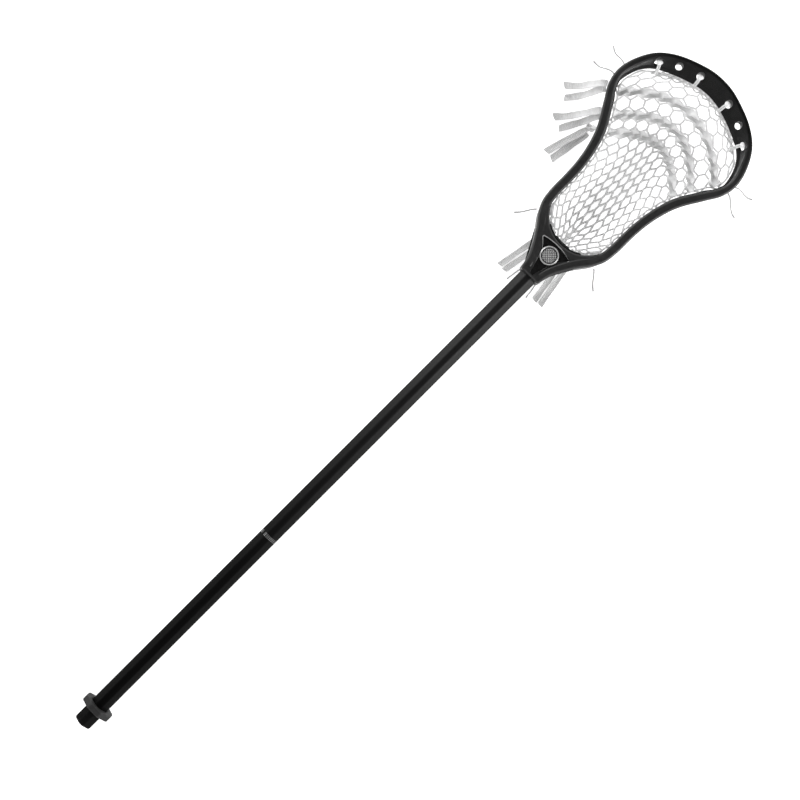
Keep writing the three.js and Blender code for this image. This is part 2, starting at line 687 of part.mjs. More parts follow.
function bottomString() {
  const points = [];
  for (let i = 0; i <= 8; i += 1) {
    const v = 0.8 * ((2 * i) / 8 - 1);
    const below = new THREE.Vector3(-0.5, 0, -POCKET_THICKNESS / 2 - STRING_RADIUS - 1.4);
    points.push(pocketPoint(0, v).add(below));
  }
  return part('bottom_string', tube(points, roundSection(STRING_RADIUS), 16), STRING_WHITE);
}

// A knot of the top string on the scoop's inner face, with its stem running down to the mesh.
function topKnot(y, index) {
  const headRadius = 3.9;
  const stemRadius = 1.7;
  const stemLength = 22;
  const headLength = 3.4;
  const profile = [
    [0, 0], [stemRadius, 0], [stemRadius, stemLength], [headRadius, stemLength],
    [headRadius, stemLength + 1.6],
    [headRadius - 1.3, stemLength + headLength], [0, stemLength + headLength],
  ].map(([r, z]) => new THREE.Vector2(r, z));
  const knot = new THREE.LatheGeometry(profile, 12).rotateZ(Math.PI / 2);
  knot.translate(stemLength + headLength / 2, 0, headRadius + GAP);
  return part(`top_knot_${index + 1}`, knot.applyMatrix4(knotFrame(y)), STRING_WHITE);
}

// ---- Free tails ----
// Cut ends of the laces and strings. They leave the head sideways, drop to the floor and lie on it. Their points
// are [x, y, height above the floor] in the frame of the finished part.
const SHOOTING_TAILS = {
  shooting_tail_1a: [
    [440.5, 94, 36], [439, 97, 36], [436.5, 101, 33.5],
    [433, 105.5, 26.5], [429.5, 110.5, 17], [425.5, 115.5, 8],
    [421, 121, 3], [416, 127, 1.2], [411, 133.5, 1],
  ],
  shooting_tail_1b: [
    [437, 91.5, 30.5], [434.5, 94, 29.5], [430, 98, 24], [425, 102, 14.5], [420, 106, 6], [414.5, 110.5, 2],
    [409.5, 114.5, 1.1], [404.5, 118.5, 1], [400, 122.2, 1],
  ],
  shooting_tail_2a: [
    [415, 77, 31], [412.5, 79.5, 30.5], [408.5, 83.5, 26.5], [403, 89, 18], [397, 95, 8.5], [391, 100.5, 3],
    [385, 105.5, 1.2], [380, 110.5, 1], [375, 115.4, 1],
  ],
  shooting_tail_2b: [
    [411, 73.5, 26.5], [408, 75.7, 25.5], [403.5, 79, 19], [398, 83, 10], [392, 87, 4], [386, 91, 1.6],
    [380, 94.5, 1], [374.5, 97.5, 1], [369, 100.4, 1],
  ],
  shooting_tail_3a: [
    [391.4, 75.5, 3.6], [388, 76.5, 3.2], [381, 78.5, 2.8], [373, 81, 2.8], [364, 84, 2.8], [355, 86.5, 2.8],
    [346, 89, 2.6], [338, 91, 1.8],
  ],
  shooting_tail_3b: [
    [391.4, 71.5, 1.5], [388, 71.8, 1.2], [380, 72.8, 1], [371, 74.5, 1], [362, 76, 1], [353, 77.5, 1],
    [344.5, 79, 1], [336.4, 80.4, 1],
  ],
};
const KNOT_NECK = [[394.4, 66.3, 27], [395, 68, 26.4], [396.2, 70.8, 22], [397, 72.6, 16], [397.2, 73.4, 10]];
const KNOT_CENTRE = [397.3, 73.6, 5];
const KNOT_RADII = [5.5, 6.5, 4.5];
const STRING_TAILS = {
  side_tail_left_1: [
    [468.5, 95, 41], [470, 97.3, 40.5], [472.5, 101, 36],
    [475.5, 105.3, 27], [478.5, 109.8, 16.5], [481.5, 114, 7.5],
    [484.5, 118.5, 2.2], [488, 123.4, 1],
  ],
  side_tail_left_2: [
    [454, 97, 38], [454.4, 100, 37.3], [455, 104.5, 32],
    [455.7, 109.5, 22.5], [456.4, 114, 12], [457, 118.5, 4.5],
    [457.6, 123, 1.4], [458.1, 127.2, 1],
  ],
  side_tail_right_1: [
    [459.5, -97, 39], [461, -99.4, 38.3], [463.5, -103.7, 33], [466.3, -108.6, 23], [469, -113.5, 12.5],
    [471.2, -117.8, 5], [473.2, -121.5, 1.5], [475.1, -125.2, 1],
  ],
  side_tail_right_2: [
    [449.5, -97, 37], [449, -99.6, 36.3], [448.2, -103.8, 31], [447.3, -108.6, 21], [446.5, -113.5, 11],
    [445.8, -118, 4], [445, -121.8, 1.3], [444.4, -125.2, 1],
  ],
  side_tail_left_3: [
    [279, 49.2, 25], [277.3, 51, 24.4], [274.5, 53.8, 20],
    [271.5, 56.7, 12.5], [268.3, 59.8, 5], [265, 63, 1.5],
    [261.5, 66.5, 1],
  ],
  side_tail_right_3: [
    [277, -48.2, 25], [275.3, -50.2, 24.4], [272.5, -53.5, 20], [269.8, -56.9, 12.5], [267, -60.4, 5],
    [264.3, -64, 1.5], [261.5, -67.7, 1],
  ],
};
// The throat's tails are alike on both sides, so only the left ones are listed.
const OUTER_BOTTOM_TAIL = [
  [263, 23.5, 19.6], [260, 24, 18.6], [255, 25, 13.5], [249, 26, 7], [242, 27.3, 2.8], [233, 29, 1.3],
  [222, 31, 1], [212, 32.8, 1], [202.8, 34.5, 1],
];
const INNER_BOTTOM_TAIL = [
  [263, 14.9, 19.4], [260, 15.4, 18.4], [255, 16.4, 13], [249, 17.4, 6.5], [242, 18.7, 2.4], [233, 20.4, 1.2],
  [222, 22.4, 1], [212, 24.2, 1], [202, 25.9, 1],
];
const THROAT_STRING_TAIL = [
  [258, 6, 19.2], [255.5, 6.2, 18.4], [251, 6.8, 13], [245.5, 7.8, 6], [239, 9, 2.2], [229, 11, 1.1],
  [219, 12.9, 1], [209, 14.6, 1], [199, 16, 1],
];

function tail(name, points, section, steps, material) {
  return part(name, tube(points.map(vector), section, steps), material);
}

function shootingKnot() {
  const knot = new THREE.SphereGeometry(1, 14, 9);
  knot.scale(...KNOT_RADII).translate(...KNOT_CENTRE);
  return part('shooting_knot', knot, LACE_WHITE);
}

function throatTails(side, sign) {
  const mirrored = (points) => points.map(([x, y, z]) => [x, y * sign, z]);
  const lace = flatSection(BOTTOM_TAIL_HALF_WIDTH);
  const cord = roundSection(STRING_TAIL_RADIUS);
  return [
    tail(`bottom_tail_${side}_outer`, mirrored(OUTER_BOTTOM_TAIL), lace, 10, LACE_WHITE),
    tail(`bottom_tail_${side}_inner`, mirrored(INNER_BOTTOM_TAIL), lace, 10, LACE_WHITE),
    tail(`throat_tail_${side}`, mirrored(THROAT_STRING_TAIL), cord, 11, STRING_WHITE),
  ];
}

function looseTails() {
  const lace = flatSection(SHOOTING_TAIL_HALF_WIDTH);
  const cord = roundSection(STRING_TAIL_RADIUS);
  return [
    ...Object.entries(SHOOTING_TAILS).map(([name, points]) => tail(name, points, lace, 10, LACE_WHITE)),
    tail('shooting_neck_3', KNOT_NECK, ellipse(1.5, 3, 8), 5, LACE_WHITE),
    shootingKnot(),
    ...Object.entries(STRING_TAILS).map(([name, points]) => tail(name, points, cord, 10, STRING_WHITE)),
    ...throatTails('left', 1),
    ...throatTails('right', -1),
  ];
}

// ---- Assembly ----
const stick = new THREE.Group();
stick.add(
  headFrame(), ballStop(), ...badge(), headScrew(), shaft(), endCap(), meshPocket(), topString(),
  bottomString(),
  sideString('side_string_left', 1), sideString('side_string_right', -1), ...SHOOTING_ROWS.map(shootingLace),
  ...TOP_KNOTS_Y.map(topKnot),
);
stick.rotation.y = Math.atan(FLOOR_SLOPE);
stick.updateMatrixWorld(true);
const bounds = new THREE.Box3().setFromObject(stick, true);
stick.position.set(-(bounds.min.x + bounds.max.x) / 2, 0, -bounds.min.z);

const tails = new THREE.Group();
tails.add(...looseTails());

const lacrosseStick = new THREE.Group();
lacrosseStick.add(stick, tails);
export default lacrosseStick;
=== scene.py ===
"""Looks of a field lacrosse stick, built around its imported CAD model.

Most shapes are worked out in the stick's own frame, in millimetres: its origin is on the
shaft's axis at the mouth of the head's socket, +X runs to the tip of the scoop, +Y across
the head and +Z out of its open face. The STICK matrix places them in the model's frame, in
metres. The loose tails and the floor are given in the model's frame, in millimetres too.
"""

import json
import math

import bmesh
import bpy
import numpy as np
from mathutils import Matrix, Vector


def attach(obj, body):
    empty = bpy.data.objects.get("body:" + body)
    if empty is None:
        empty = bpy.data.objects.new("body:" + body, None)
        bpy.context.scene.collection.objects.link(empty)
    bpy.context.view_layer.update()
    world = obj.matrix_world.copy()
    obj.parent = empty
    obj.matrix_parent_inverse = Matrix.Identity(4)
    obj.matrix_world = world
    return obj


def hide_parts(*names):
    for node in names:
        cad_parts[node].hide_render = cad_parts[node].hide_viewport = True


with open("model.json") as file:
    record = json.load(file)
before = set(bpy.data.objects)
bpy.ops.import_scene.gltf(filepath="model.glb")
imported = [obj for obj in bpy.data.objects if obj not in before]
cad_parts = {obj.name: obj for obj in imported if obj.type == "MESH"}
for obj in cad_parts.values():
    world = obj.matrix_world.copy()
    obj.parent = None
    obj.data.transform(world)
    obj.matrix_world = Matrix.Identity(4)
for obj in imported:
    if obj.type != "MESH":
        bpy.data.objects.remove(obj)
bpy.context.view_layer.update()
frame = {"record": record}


# ---- Frame ----
MM = 0.001
BUTT_X = -737.2  # the butt's end face on the stick's own X axis
butt = next(m for m in frame["record"]["mounts"] if m["name"] == "butt_end")
ALONG = -Vector(butt["axis"])
ACROSS = Vector((0, 1, 0))
UP = ALONG.cross(ACROSS)
ORIGIN = Vector(butt["pos_m"]) - ALONG * BUTT_X * MM
AXES = Matrix((ALONG, ACROSS, UP)).transposed().to_4x4()
MODEL = Matrix.Scale(MM, 4)
STICK = Matrix.Translation(ORIGIN) @ AXES @ MODEL


def model_x(x):
    """Where a point of the stick's X axis is along the model's X axis, in metres."""
    return (STICK @ Vector((x, 0, 0))).x


# ---- Camera ----
CAMERA_DISTANCE = 1.7
SENSOR_WIDTH = 36
FRAME_WIDTH = 0.936  # what the picture spans at the shaft's axis
FRAME_CENTRE = Vector((-207.5, 4, 0))


def make_camera():
    """Looks straight down on the stick, with the head towards the picture's upper right corner."""
    data = bpy.data.cameras.new("camera")
    data.sensor_width = SENSOR_WIDTH
    data.lens = SENSOR_WIDTH * CAMERA_DISTANCE / FRAME_WIDTH
    data.clip_start = 0.05
    data.clip_end = 50
    camera = bpy.data.objects.new("camera", data)
    bpy.context.scene.collection.objects.link(camera)
    right = (ALONG - ACROSS).normalized()
    upward = (ALONG + ACROSS).normalized()
    turn = Matrix((right, upward, UP)).transposed().to_4x4()
    camera.matrix_world = Matrix.Translation(STICK @ FRAME_CENTRE + UP * CAMERA_DISTANCE) @ turn
    bpy.context.scene.camera = camera


make_camera()


# ---- Curves ----
def smoothstep(t):
    t = np.clip(t, 0, 1)
    return t * t * (3 - 2 * t)


def height_curve(points):
    """A smooth curve through (x, height) points, as a function of x."""
    xs, hs = (np.array(column, float) for column in zip(*points))
    before = np.r_[0, np.arange(len(xs) - 1)]
    after = np.r_[np.arange(1, len(xs)), len(xs) - 1]
    slopes = (hs[after] - hs[before]) / (xs[after] - xs[before])

    def height(x):
        i = np.clip(np.searchsorted(xs, x, side="left") - 1, 0, len(xs) - 2)
        span = xs[i + 1] - xs[i]
        t = np.clip((x - xs[i]) / span, 0, 1)
        start = (2 * t**3 - 3 * t**2 + 1) * hs[i] + (t**3 - 2 * t**2 + t) * span * slopes[i]
        end = (3 * t**2 - 2 * t**3) * hs[i + 1] + (t**3 - t**2) * span * slopes[i + 1]
        return start + end

    return height


def distances(points):
    """How far along a polyline each of its points is."""
    return np.r_[0, np.cumsum(np.linalg.norm(np.diff(points, axis=0), axis=1))]


def evenly(points, count):
    """Points spaced evenly along a polyline."""
    points = np.asarray(points, float)
    length = distances(points)
    wanted = np.linspace(0, length[-1], count)
    return np.column_stack([np.interp(wanted, length, column) for column in points.T])


def smooth_curve(points, count):
    """Points spaced evenly along the centripetal Catmull-Rom curve through the given ones."""
    p = np.asarray(points, float)
    p = np.vstack([2 * p[0] - p[1], p, 2 * p[-1] - p[-2]])
    t = np.linspace(0, 1, 40, endpoint=False)[:, None]
    fine = []
    for a, b, c, d in zip(p, p[1:], p[2:], p[3:]):
        ab, bc, cd = (math.sqrt(np.linalg.norm(y - x)) for x, y in ((a, b), (b, c), (c, d)))
        leave = ((b - a) / ab - (c - a) / (ab + bc) + (c - b) / bc) * bc
        arrive = ((c - b) / bc - (d - b) / (bc + cd) + (d - c) / cd) * bc
        square = 3 * (c - b) - 2 * leave - arrive
        cube = 2 * (b - c) + leave + arrive
        fine.append(b + leave * t + square * t**2 + cube * t**3)
    return evenly(np.vstack([*fine, p[-2:-1]]), count)


def unit(vectors):
    return vectors / np.linalg.norm(vectors, axis=-1, keepdims=True)


# ---- Mesh making ----
def new_object(name, vertices, faces, materials, body="stick", matrix=STICK):
    """A smooth-shaded mesh object that rides on a body. The matrix takes its points to metres."""
    mesh = bpy.data.meshes.new(name)
    mesh.from_pydata([tuple(v) for v in vertices], [], faces)
    mesh.transform(matrix)
    mesh.validate()
    mesh.shade_smooth()
    for material in materials:
        mesh.materials.append(material)
    piece = bpy.data.objects.new(name, mesh)
    bpy.context.scene.collection.objects.link(piece)
    if body:
        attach(piece, body)
    return piece


def bridge(rings, looped=False):
    """Vertices and faces that join rings of points.

    Each end gets an n-gon, unless the last ring joins the first.
    """
    rings = [np.asarray(ring, float) for ring in rings]
    count = len(rings[0])
    vertices = np.vstack(rings)
    faces = []
    for i in range(len(rings) if looped else len(rings) - 1):
        here, there = i * count, (i + 1) % len(rings) * count
        for j in range(count):
            k = (j + 1) % count
            faces.append((here + j, here + k, there + k, there + j))
    if not looped:
        last = (len(rings) - 1) * count
        faces.append(tuple(range(count))[::-1])
        faces.append(tuple(range(last, last + count)))
    return vertices, faces


def face_outwards(piece):
    work = bmesh.new()
    work.from_mesh(piece.data)
    bmesh.ops.recalc_face_normals(work, faces=work.faces)
    work.to_mesh(piece.data)
    work.free()


def lay_uv(piece, ring_size, place):
    """Gives each vertex the place on the texture that belongs to its ring and its corner."""
    layer = piece.data.uv_layers.new(name="UV")
    for loop in piece.data.loops:
        layer.data[loop.index].uv = place(*divmod(loop.vertex_index, ring_size))


def apply_modifiers(piece):
    depsgraph = bpy.context.evaluated_depsgraph_get()
    mesh = bpy.data.meshes.new_from_object(piece.evaluated_get(depsgraph))
    piece.modifiers.clear()
    old = piece.data
    piece.data = mesh
    bpy.data.meshes.remove(old)
    mesh.name = piece.name


def combine(piece, tools, operation="DIFFERENCE"):
    """Cuts the tools out of the piece, or joins them to it, and removes them."""
    for tool in tools:
        modifier = piece.modifiers.new(tool.name, "BOOLEAN")
        modifier.object = tool
        modifier.operation = operation
        modifier.solver = "MANIFOLD"
        modifier.material_mode = "INDEX"
    apply_modifiers(piece)
    for tool in tools:
        bpy.data.objects.remove(tool)


def crisp(piece, degrees=32):
    """Smooth shading that keeps edges over an angle, and flat faces flat."""
    piece.data.set_sharp_from_angle(angle=math.radians(degrees))
    weighted = piece.modifiers.new("weighted normals", "WEIGHTED_NORMAL")
    weighted.keep_sharp = True


def subdivide(piece, levels):
    modifier = piece.modifiers.new("subdivision", "SUBSURF")
    modifier.levels = levels
    modifier.render_levels = levels


def frames_along(path, roll=0.0):
    """Side and upward directions at each point of a path, level if it isn't rolled."""
    tangents = unit(np.gradient(path, axis=0))
    upward = unit(np.array([0, 0, 1.0]) - tangents * tangents[:, 2:3])
    side = np.cross(tangents, upward)
    roll = np.broadcast_to(np.asarray(roll, float), len(path))[:, None]
    return (
        side * np.cos(roll) + upward * np.sin(roll),
        upward * np.cos(roll) - side * np.sin(roll),
    )


# ---- Materials ----
def rgba(colour):
    """A grey, a colour or a socket, as a colour or a socket."""
    if isinstance(colour, bpy.types.NodeSocket):
        return colour
    if isinstance(colour, (int, float)):
        colour = (colour, colour, colour)
    return (*colour[:3], 1.0)


def set_stops(node, stops):
    """Fills a colour ramp from (place, grey or colour) stops."""
    elements = node.color_ramp.elements
    while len(elements) < len(stops):
        elements.new(0.5)
    for element, (place, colour) in zip(elements, stops):
        element.position = place
        element.color = rgba(colour)


class Finish:
    """A node material under construction. Its methods add nodes and return the last socket."""

    def __init__(self, name, roughness, metallic=0.0, specular=0.5):
        self.material = bpy.data.materials.new(name)
        self.material.use_nodes = True
        self.tree = self.material.node_tree
        self.shader = self.tree.nodes["Principled BSDF"]
        self.shader.inputs["Roughness"].default_value = roughness
        self.shader.inputs["Metallic"].default_value = metallic
        self.shader.inputs["Specular IOR Level"].default_value = specular
        self.coordinates = self.tree.nodes.new("ShaderNodeTexCoord")

    def put(self, socket, value):
        if isinstance(value, bpy.types.NodeSocket):
            self.tree.links.new(value, socket)
        else:
            socket.default_value = value

    def math(self, operation, a, b=0.0):
        node = self.tree.nodes.new("ShaderNodeMath")
        node.operation = operation
        self.put(node.inputs[0], a)
        self.put(node.inputs[1], b)
        return node.outputs[0]

    def noise(self, scale, detail=3.0, stretch=(1, 1, 1)):
        """Noise with about scale lumps in a metre."""
        mapping = self.tree.nodes.new("ShaderNodeMapping")
        mapping.inputs["Scale"].default_value = stretch
        self.put(mapping.inputs["Vector"], self.coordinates.outputs["Object"])
        node = self.tree.nodes.new("ShaderNodeTexNoise")
        node.inputs["Scale"].default_value = scale
        node.inputs["Detail"].default_value = detail
        self.put(node.inputs["Vector"], mapping.outputs["Vector"])
        return node.outputs["Fac"]

    def cells(self, scale):
        node = self.tree.nodes.new("ShaderNodeTexVoronoi")
        node.inputs["Scale"].default_value = scale
        self.put(node.inputs["Vector"], self.coordinates.outputs["Object"])
        return node.outputs["Distance"]

    def axis(self, source, index):
        node = self.tree.nodes.new("ShaderNodeSeparateXYZ")
        self.put(node.inputs[0], self.coordinates.outputs[source])
        return node.outputs[index]

    def ramp(self, value, stops):
        """Colours along a value from 0 to 1, from (place, grey or colour) stops."""
        node = self.tree.nodes.new("ShaderNodeValToRGB")
        set_stops(node, stops)
        self.put(node.inputs["Fac"], value)
        return node.outputs["Color"]

    def between(self, value, low, high, to_low=0.0, to_high=1.0):
        node = self.tree.nodes.new("ShaderNodeMapRange")
        for socket, number in zip(node.inputs[1:5], (low, high, to_low, to_high)):
            socket.default_value = number
        self.put(node.inputs["Value"], value)
        return node.outputs["Result"]

    def mix(self, share, a, b, blend="MIX"):
        node = self.tree.nodes.new("ShaderNodeMix")
        node.data_type = "RGBA"
        node.blend_type = blend
        self.put(node.inputs["Factor"], share)
        self.put(node.inputs["A"], rgba(a))
        self.put(node.inputs["B"], rgba(b))
        return node.outputs["Result"]

    def shaded(self, colour, shade):
        """A colour darkened by a shade from 0, for black, to 1."""
        return self.mix(1.0, colour, shade, "MULTIPLY")

    def wave(self, value, per_unit):
        """A sine from -1 to 1, with so many waves in each unit of the value."""
        return self.math("SINE", self.math("MULTIPLY", value, 2 * math.pi * per_unit))

    def finish(self, colour, bump=None, depth=0.0001, roughness=None):
        self.put(self.shader.inputs["Base Color"], rgba(colour))
        if roughness is not None:
            self.put(self.shader.inputs["Roughness"], roughness)
        if bump is not None:
            node = self.tree.nodes.new("ShaderNodeBump")
            node.inputs["Strength"].default_value = 1
            node.inputs["Distance"].default_value = depth
            self.put(node.inputs["Height"], bump)
            self.put(self.shader.inputs["Normal"], node.outputs["Normal"])
        return self.material


def moulded_plastic(name, low, high, roughness, specular=0.3, painted_shade_x=None):
    """Satin moulded nylon with a fine grain and a slightly cloudy colour.

    The two X places, if given, are where it goes over to painted black, with its reflections tinted
    out: painted shade.
    """
    made = Finish(name, roughness, specular=specular)
    colour = made.ramp(made.noise(60, 4), [(0.35, low), (0.65, high)])
    if painted_shade_x:
        # Painted shade: the colour goes black and the reflections lose their tint between the two X
        # places.
        start, end = (model_x(x) for x in painted_shade_x)
        shade_share = made.between(made.axis("Object", 0), start, end, 0.0, 0.85)
        colour = made.mix(shade_share, colour, 0.0)
        made.put(made.shader.inputs["Specular Tint"], made.mix(shade_share, 1.0, 0.0))
    speckle = made.ramp(made.noise(1500, 2), [(0.4, 0.82), (0.6, 1.0)])
    grain = made.noise(2600, 2)
    shine = made.between(made.noise(220, 3), 0.3, 0.7, roughness - 0.05, roughness + 0.06)
    return made.finish(made.shaded(colour, speckle), grain, 0.00012, shine)


def metal(name, grey, roughness, scratches=(1, 1, 1)):
    made = Finish(name, roughness, metallic=0.85)
    fine = made.noise(700, 3, scratches)
    colour = made.ramp(fine, [(0.3, grey * 0.85), (0.7, grey)])
    shine = made.between(fine, 0.2, 0.8, roughness - 0.05, roughness + 0.08)
    return made.finish(colour, fine, 0.00003, shine)


PAINT_FADE_X = (-700, 0)  # the paint goes from its darkest to its lightest between these
PRINT_X = -429  # middle of the ring of plain dashes printed round the shaft
PRINT_HALF_WIDTH = 2.3
DASH_PITCHES = (1.7, 1.9)  # along the shaft and round it


def printed_ring(made, x):
    """1 on the dashes of the printed ring, and 0 elsewhere."""
    from_middle = made.math("SUBTRACT", x, model_x(PRINT_X))
    off_ring = made.math("ABSOLUTE", from_middle)
    in_ring = made.math("LESS_THAN", off_ring, PRINT_HALF_WIDTH * MM)
    pitch_along, pitch_round = (pitch * MM for pitch in DASH_PITCHES)
    rows = made.math("GREATER_THAN", made.wave(from_middle, 1 / pitch_along), -0.1)
    around = made.math("MULTIPLY", made.axis("Object", 2), 0.7)
    around = made.math("ADD", made.axis("Object", 1), around)
    dashes = made.math("GREATER_THAN", made.wave(around, 1 / pitch_round), -0.35)
    return made.math("MULTIPLY", in_ring, made.math("MULTIPLY", rows, dashes))


def painted_shaft():
    """Charcoal paint, brushed along, that fades to black towards the butt, where its reflections
    are also tinted darker as painted shade.
    """
    made = Finish("shaft_paint", 0.36, specular=0.12)
    x = made.axis("Object", 0)
    along = made.between(x, *(model_x(place) for place in PAINT_FADE_X))
    colour = made.ramp(along, [(0.0, 0.003), (0.32, 0.004), (0.6, 0.007), (1.0, 0.009)])
    # Painted shade: the reflections are tinted darker towards the butt.
    tint = made.ramp(along, [(0.3, 0.0), (0.6, 0.5), (0.8, 1.0)])
    made.put(made.shader.inputs["Specular Tint"], tint)
    brushed = made.noise(900, 4, (0.02, 1, 1))
    colour = made.shaded(colour, made.ramp(brushed, [(0.3, 0.8), (0.7, 1.0)]))
    colour = made.mix(printed_ring(made, x), colour, 0.2)
    shine = made.between(made.noise(300, 3), 0.3, 0.7, 0.31, 0.42)
    return made.finish(colour, brushed, 0.00002, shine)


def rubber(name, grey, roughness, specular):
    made = Finish(name, roughness, specular=specular)
    colour = made.ramp(made.noise(500, 4), [(0.35, grey * 0.75), (0.65, grey * 1.1)])
    shine = made.between(made.noise(150), 0.3, 0.7, roughness - 0.08, roughness + 0.05)
    return made.finish(colour, made.noise(1800, 3), 0.0001, shine)


def foam():
    made = Finish("foam", 0.9, specular=0.2)
    pores = made.cells(1300)
    # Painted shade: the pores' hollows are painted darker.
    return made.finish(made.ramp(pores, [(0.1, 0.004), (0.5, 0.016)]), pores, 0.0003)


TURN_LENGTH = 16  # what UV gives for one whole turn of a shooting lace's plies
PLY_LEAD = 0.9  # how far, in radians, a ply's tilt runs ahead of its turn
POCKET_GLOW_X = (20, 270)  # where the stops of the pocket's glow start and end


def woven(name, low, high, ribs, depth, glow, fold_shaded=False):
    """White textile whose ribs run across it.

    UV gives millimetres along the piece, and from -1 to 1 across it. The glow is painted light:
    an emission that stands in for the floor's light coming through, one number, or stops from
    the pocket's bottom to its top. The weave's low places are painted darker, as shade in its
    grooves. A lace with shaded folds is painted greyer, as shade, on the half of each of its
    turns that leans back.
    """
    made = Finish(name, 0.85, specular=0.2)
    made.shader.inputs["Sheen Weight"].default_value = 0.25
    made.shader.inputs["Sheen Roughness"].default_value = 0.5
    along = made.axis("UV", 0)
    across = made.axis("UV", 1)
    slanted = made.math("ADD", along, made.math("MULTIPLY", made.math("ABSOLUTE", across), 0.9))
    chevrons = made.wave(slanted, ribs)
    threads = made.wave(across, 3.5)
    weave = made.math("ADD", chevrons, made.math("MULTIPLY", threads, 0.6))
    weave = made.math("ADD", weave, made.math("MULTIPLY", made.noise(3500, 2), 0.8))
    soiled = made.ramp(made.noise(45, 4), [(0.35, low), (0.65, high)])
    # Painted shade: the weave's low places are painted darker, as shade in its grooves.
    colour = made.mix(made.between(weave, -1.6, 1.2, 0.4, 0.0), soiled, low * 0.75)
    # Painted shade: the half of each turn that leans back is painted greyer.
    if fold_shaded:
        lead = TURN_LENGTH * (PLY_LEAD / math.pi / 2 + 0.25)
        leaning = made.wave(made.math("ADD", along, lead), 1 / TURN_LENGTH)
        leaning = made.between(leaning, -1.0, 1.0)
        colour = made.shaded(colour, made.ramp(leaning, [(0.1, 0.6), (0.5, 0.88), (0.8, 1.0)]))
    # Painted light: the colour also glows, standing in for the floor's light coming through.
    made.put(made.shader.inputs["Emission Color"], colour)
    if isinstance(glow, list):
        bottom, top = (model_x(x) for x in POCKET_GLOW_X)
        glow = made.ramp(made.between(made.axis("Object", 0), bottom, top), glow)
    made.put(made.shader.inputs["Emission Strength"], glow)
    return made.finish(colour, weave, depth)


# Painted shade: the head is painted black, with its reflections tinted out, towards the scoop's
# tip.
HEAD_PLASTIC = moulded_plastic("head_plastic", 0.008, 0.012, 0.4, 0.45, painted_shade_x=(240, 292))
# Painted shade: a darker copy of the head's plastic for the sunk panel's floor, the badge's seat,
# the screw's holes and the socket's deep end.
RECESS_PAINTED_SHADE = moulded_plastic("recess_painted_shade", 0.004, 0.006, 0.3)
# Painted highlight: a light grey on the recess's chamfered rim, standing in for the bright lines
# along its edges.
RECESS_EDGE_HIGHLIGHT = moulded_plastic("recess_edge_highlight", 0.35, 0.45, 0.3)
HEAD_MATERIALS = [HEAD_PLASTIC, RECESS_PAINTED_SHADE, RECESS_EDGE_HIGHLIGHT]
SHAFT_PAINT = painted_shaft()
RUBBER = rubber("end_cap_rubber", 0.009, 0.62, 0.35)
STUB_RUBBER = rubber("stub_rubber", 0.0015, 0.75, 0.08)
FOAM = foam()
SILVER = metal("badge_silver", 0.5, 0.32)
BADGE_GREY = metal("badge_grey", 0.4, 0.4)
BADGE_DARK = metal("badge_dark", 0.05, 0.5)
STEEL = metal("screw_steel", 0.55, 0.3, (1, 0.1, 1))
# Painted light: the net's glow, stronger by the pocket's bottom and its top.
POCKET_GLOW = [(0.0, 0.13), (0.45, 0.0), (0.7, 0.05), (1.0, 0.17)]
MESH_KNIT = woven("mesh_knit", 0.72, 0.82, 0.6, 0.0001, POCKET_GLOW)
STRING = woven("string", 0.8, 0.9, 0.7, 0.00015, 0.2)
# Painted shade: the loose string tails are the same white string, painted darker.
TAIL_STRING = woven("tail_string", 0.4, 0.5, 0.7, 0.00015, 0.1)
# Painted shade: the loose lace tails and the knot get a darker white than the shooting laces, with
# no glow.
LACE = woven("lace", 0.62, 0.76, 0.45, 0.0002, 0.0)
SHOOTING_LACE = woven("shooting_lace", 0.84, 0.94, 0.3, 0.0002, 0.2, fold_shaded=True)


# ---- Swept pieces ----
def sweep(
    name, path, section, material, matrix=STICK, body="stick", roll=0.0, widths=None, along=None
):
    """Sweeps a closed section of (sideways, upward) points along a path.

    UV gives the distance along the path, or the numbers in along, and from -1 to 1 across it.
    """
    path = np.asarray(path, float)
    section = np.asarray(section, float)
    widths = np.ones(len(path)) if widths is None else widths
    along = distances(path) if along is None else along
    rings = []
    for place, side, upward, width in zip(path, *frames_along(path, roll), widths):
        sideways = np.outer(section[:, 0] * width, side)
        rings.append(place + sideways + np.outer(section[:, 1], upward))
    piece = new_object(name, *bridge(rings), [material], body, matrix)
    across = section[:, 0] / np.abs(section[:, 0]).max()
    lay_uv(piece, len(section), lambda ring, corner: (along[ring], across[corner]))
    return piece


def round_section(radius, count):
    angles = np.arange(count) * 2 * math.pi / count
    return np.column_stack([np.cos(angles), np.sin(angles)]) * radius


CORD_SIDES = 15


def twisted_cord(name, path, radius, pitch, matrix=STICK, body="stick", material=STRING):
    """A cord of three twisted strands: its section has three lobes and turns once in each pitch."""
    path = np.asarray(path, float)
    lengths = distances(path)
    angles = np.arange(CORD_SIDES) * 2 * math.pi / CORD_SIDES
    circle = round_section(1, CORD_SIDES)
    rings = []
    for place, side, upward, length in zip(path, *frames_along(path), lengths):
        lobes = radius * (0.9 + 0.14 * np.cos(3 * (angles - 2 * math.pi * length / pitch)))
        sideways = np.outer(lobes * circle[:, 0], side)
        rings.append(place + sideways + np.outer(lobes * circle[:, 1], upward))
    piece = new_object(name, *bridge(rings), [material], body, matrix)

    def place_in_strand(ring, corner):
        turned = angles[corner] / math.pi - 1 - 2 * lengths[ring] / pitch
        return lengths[ring], math.sin(3 * math.pi * turned)

    lay_uv(piece, CORD_SIDES, place_in_strand)
    return piece


def joined(name, pieces):
    """One piece from several, with its own name."""
    work = bmesh.new()
    for piece in pieces:
        work.from_mesh(piece.data)
    first = pieces[0]
    work.to_mesh(first.data)
    work.free()
    for piece in pieces[1:]:
        bpy.data.objects.remove(piece)
    first.name = name
    first.data.name = name
    return first


# ---- Free tails, in the model's frame ----
SHOOTING_TAIL_WIDTH = 9.2
BOTTOM_TAIL_WIDTH = 7.8
TAIL_STRING_DIAMETER = 1.8
STRING_PITCH = 5  # of the twist in every string

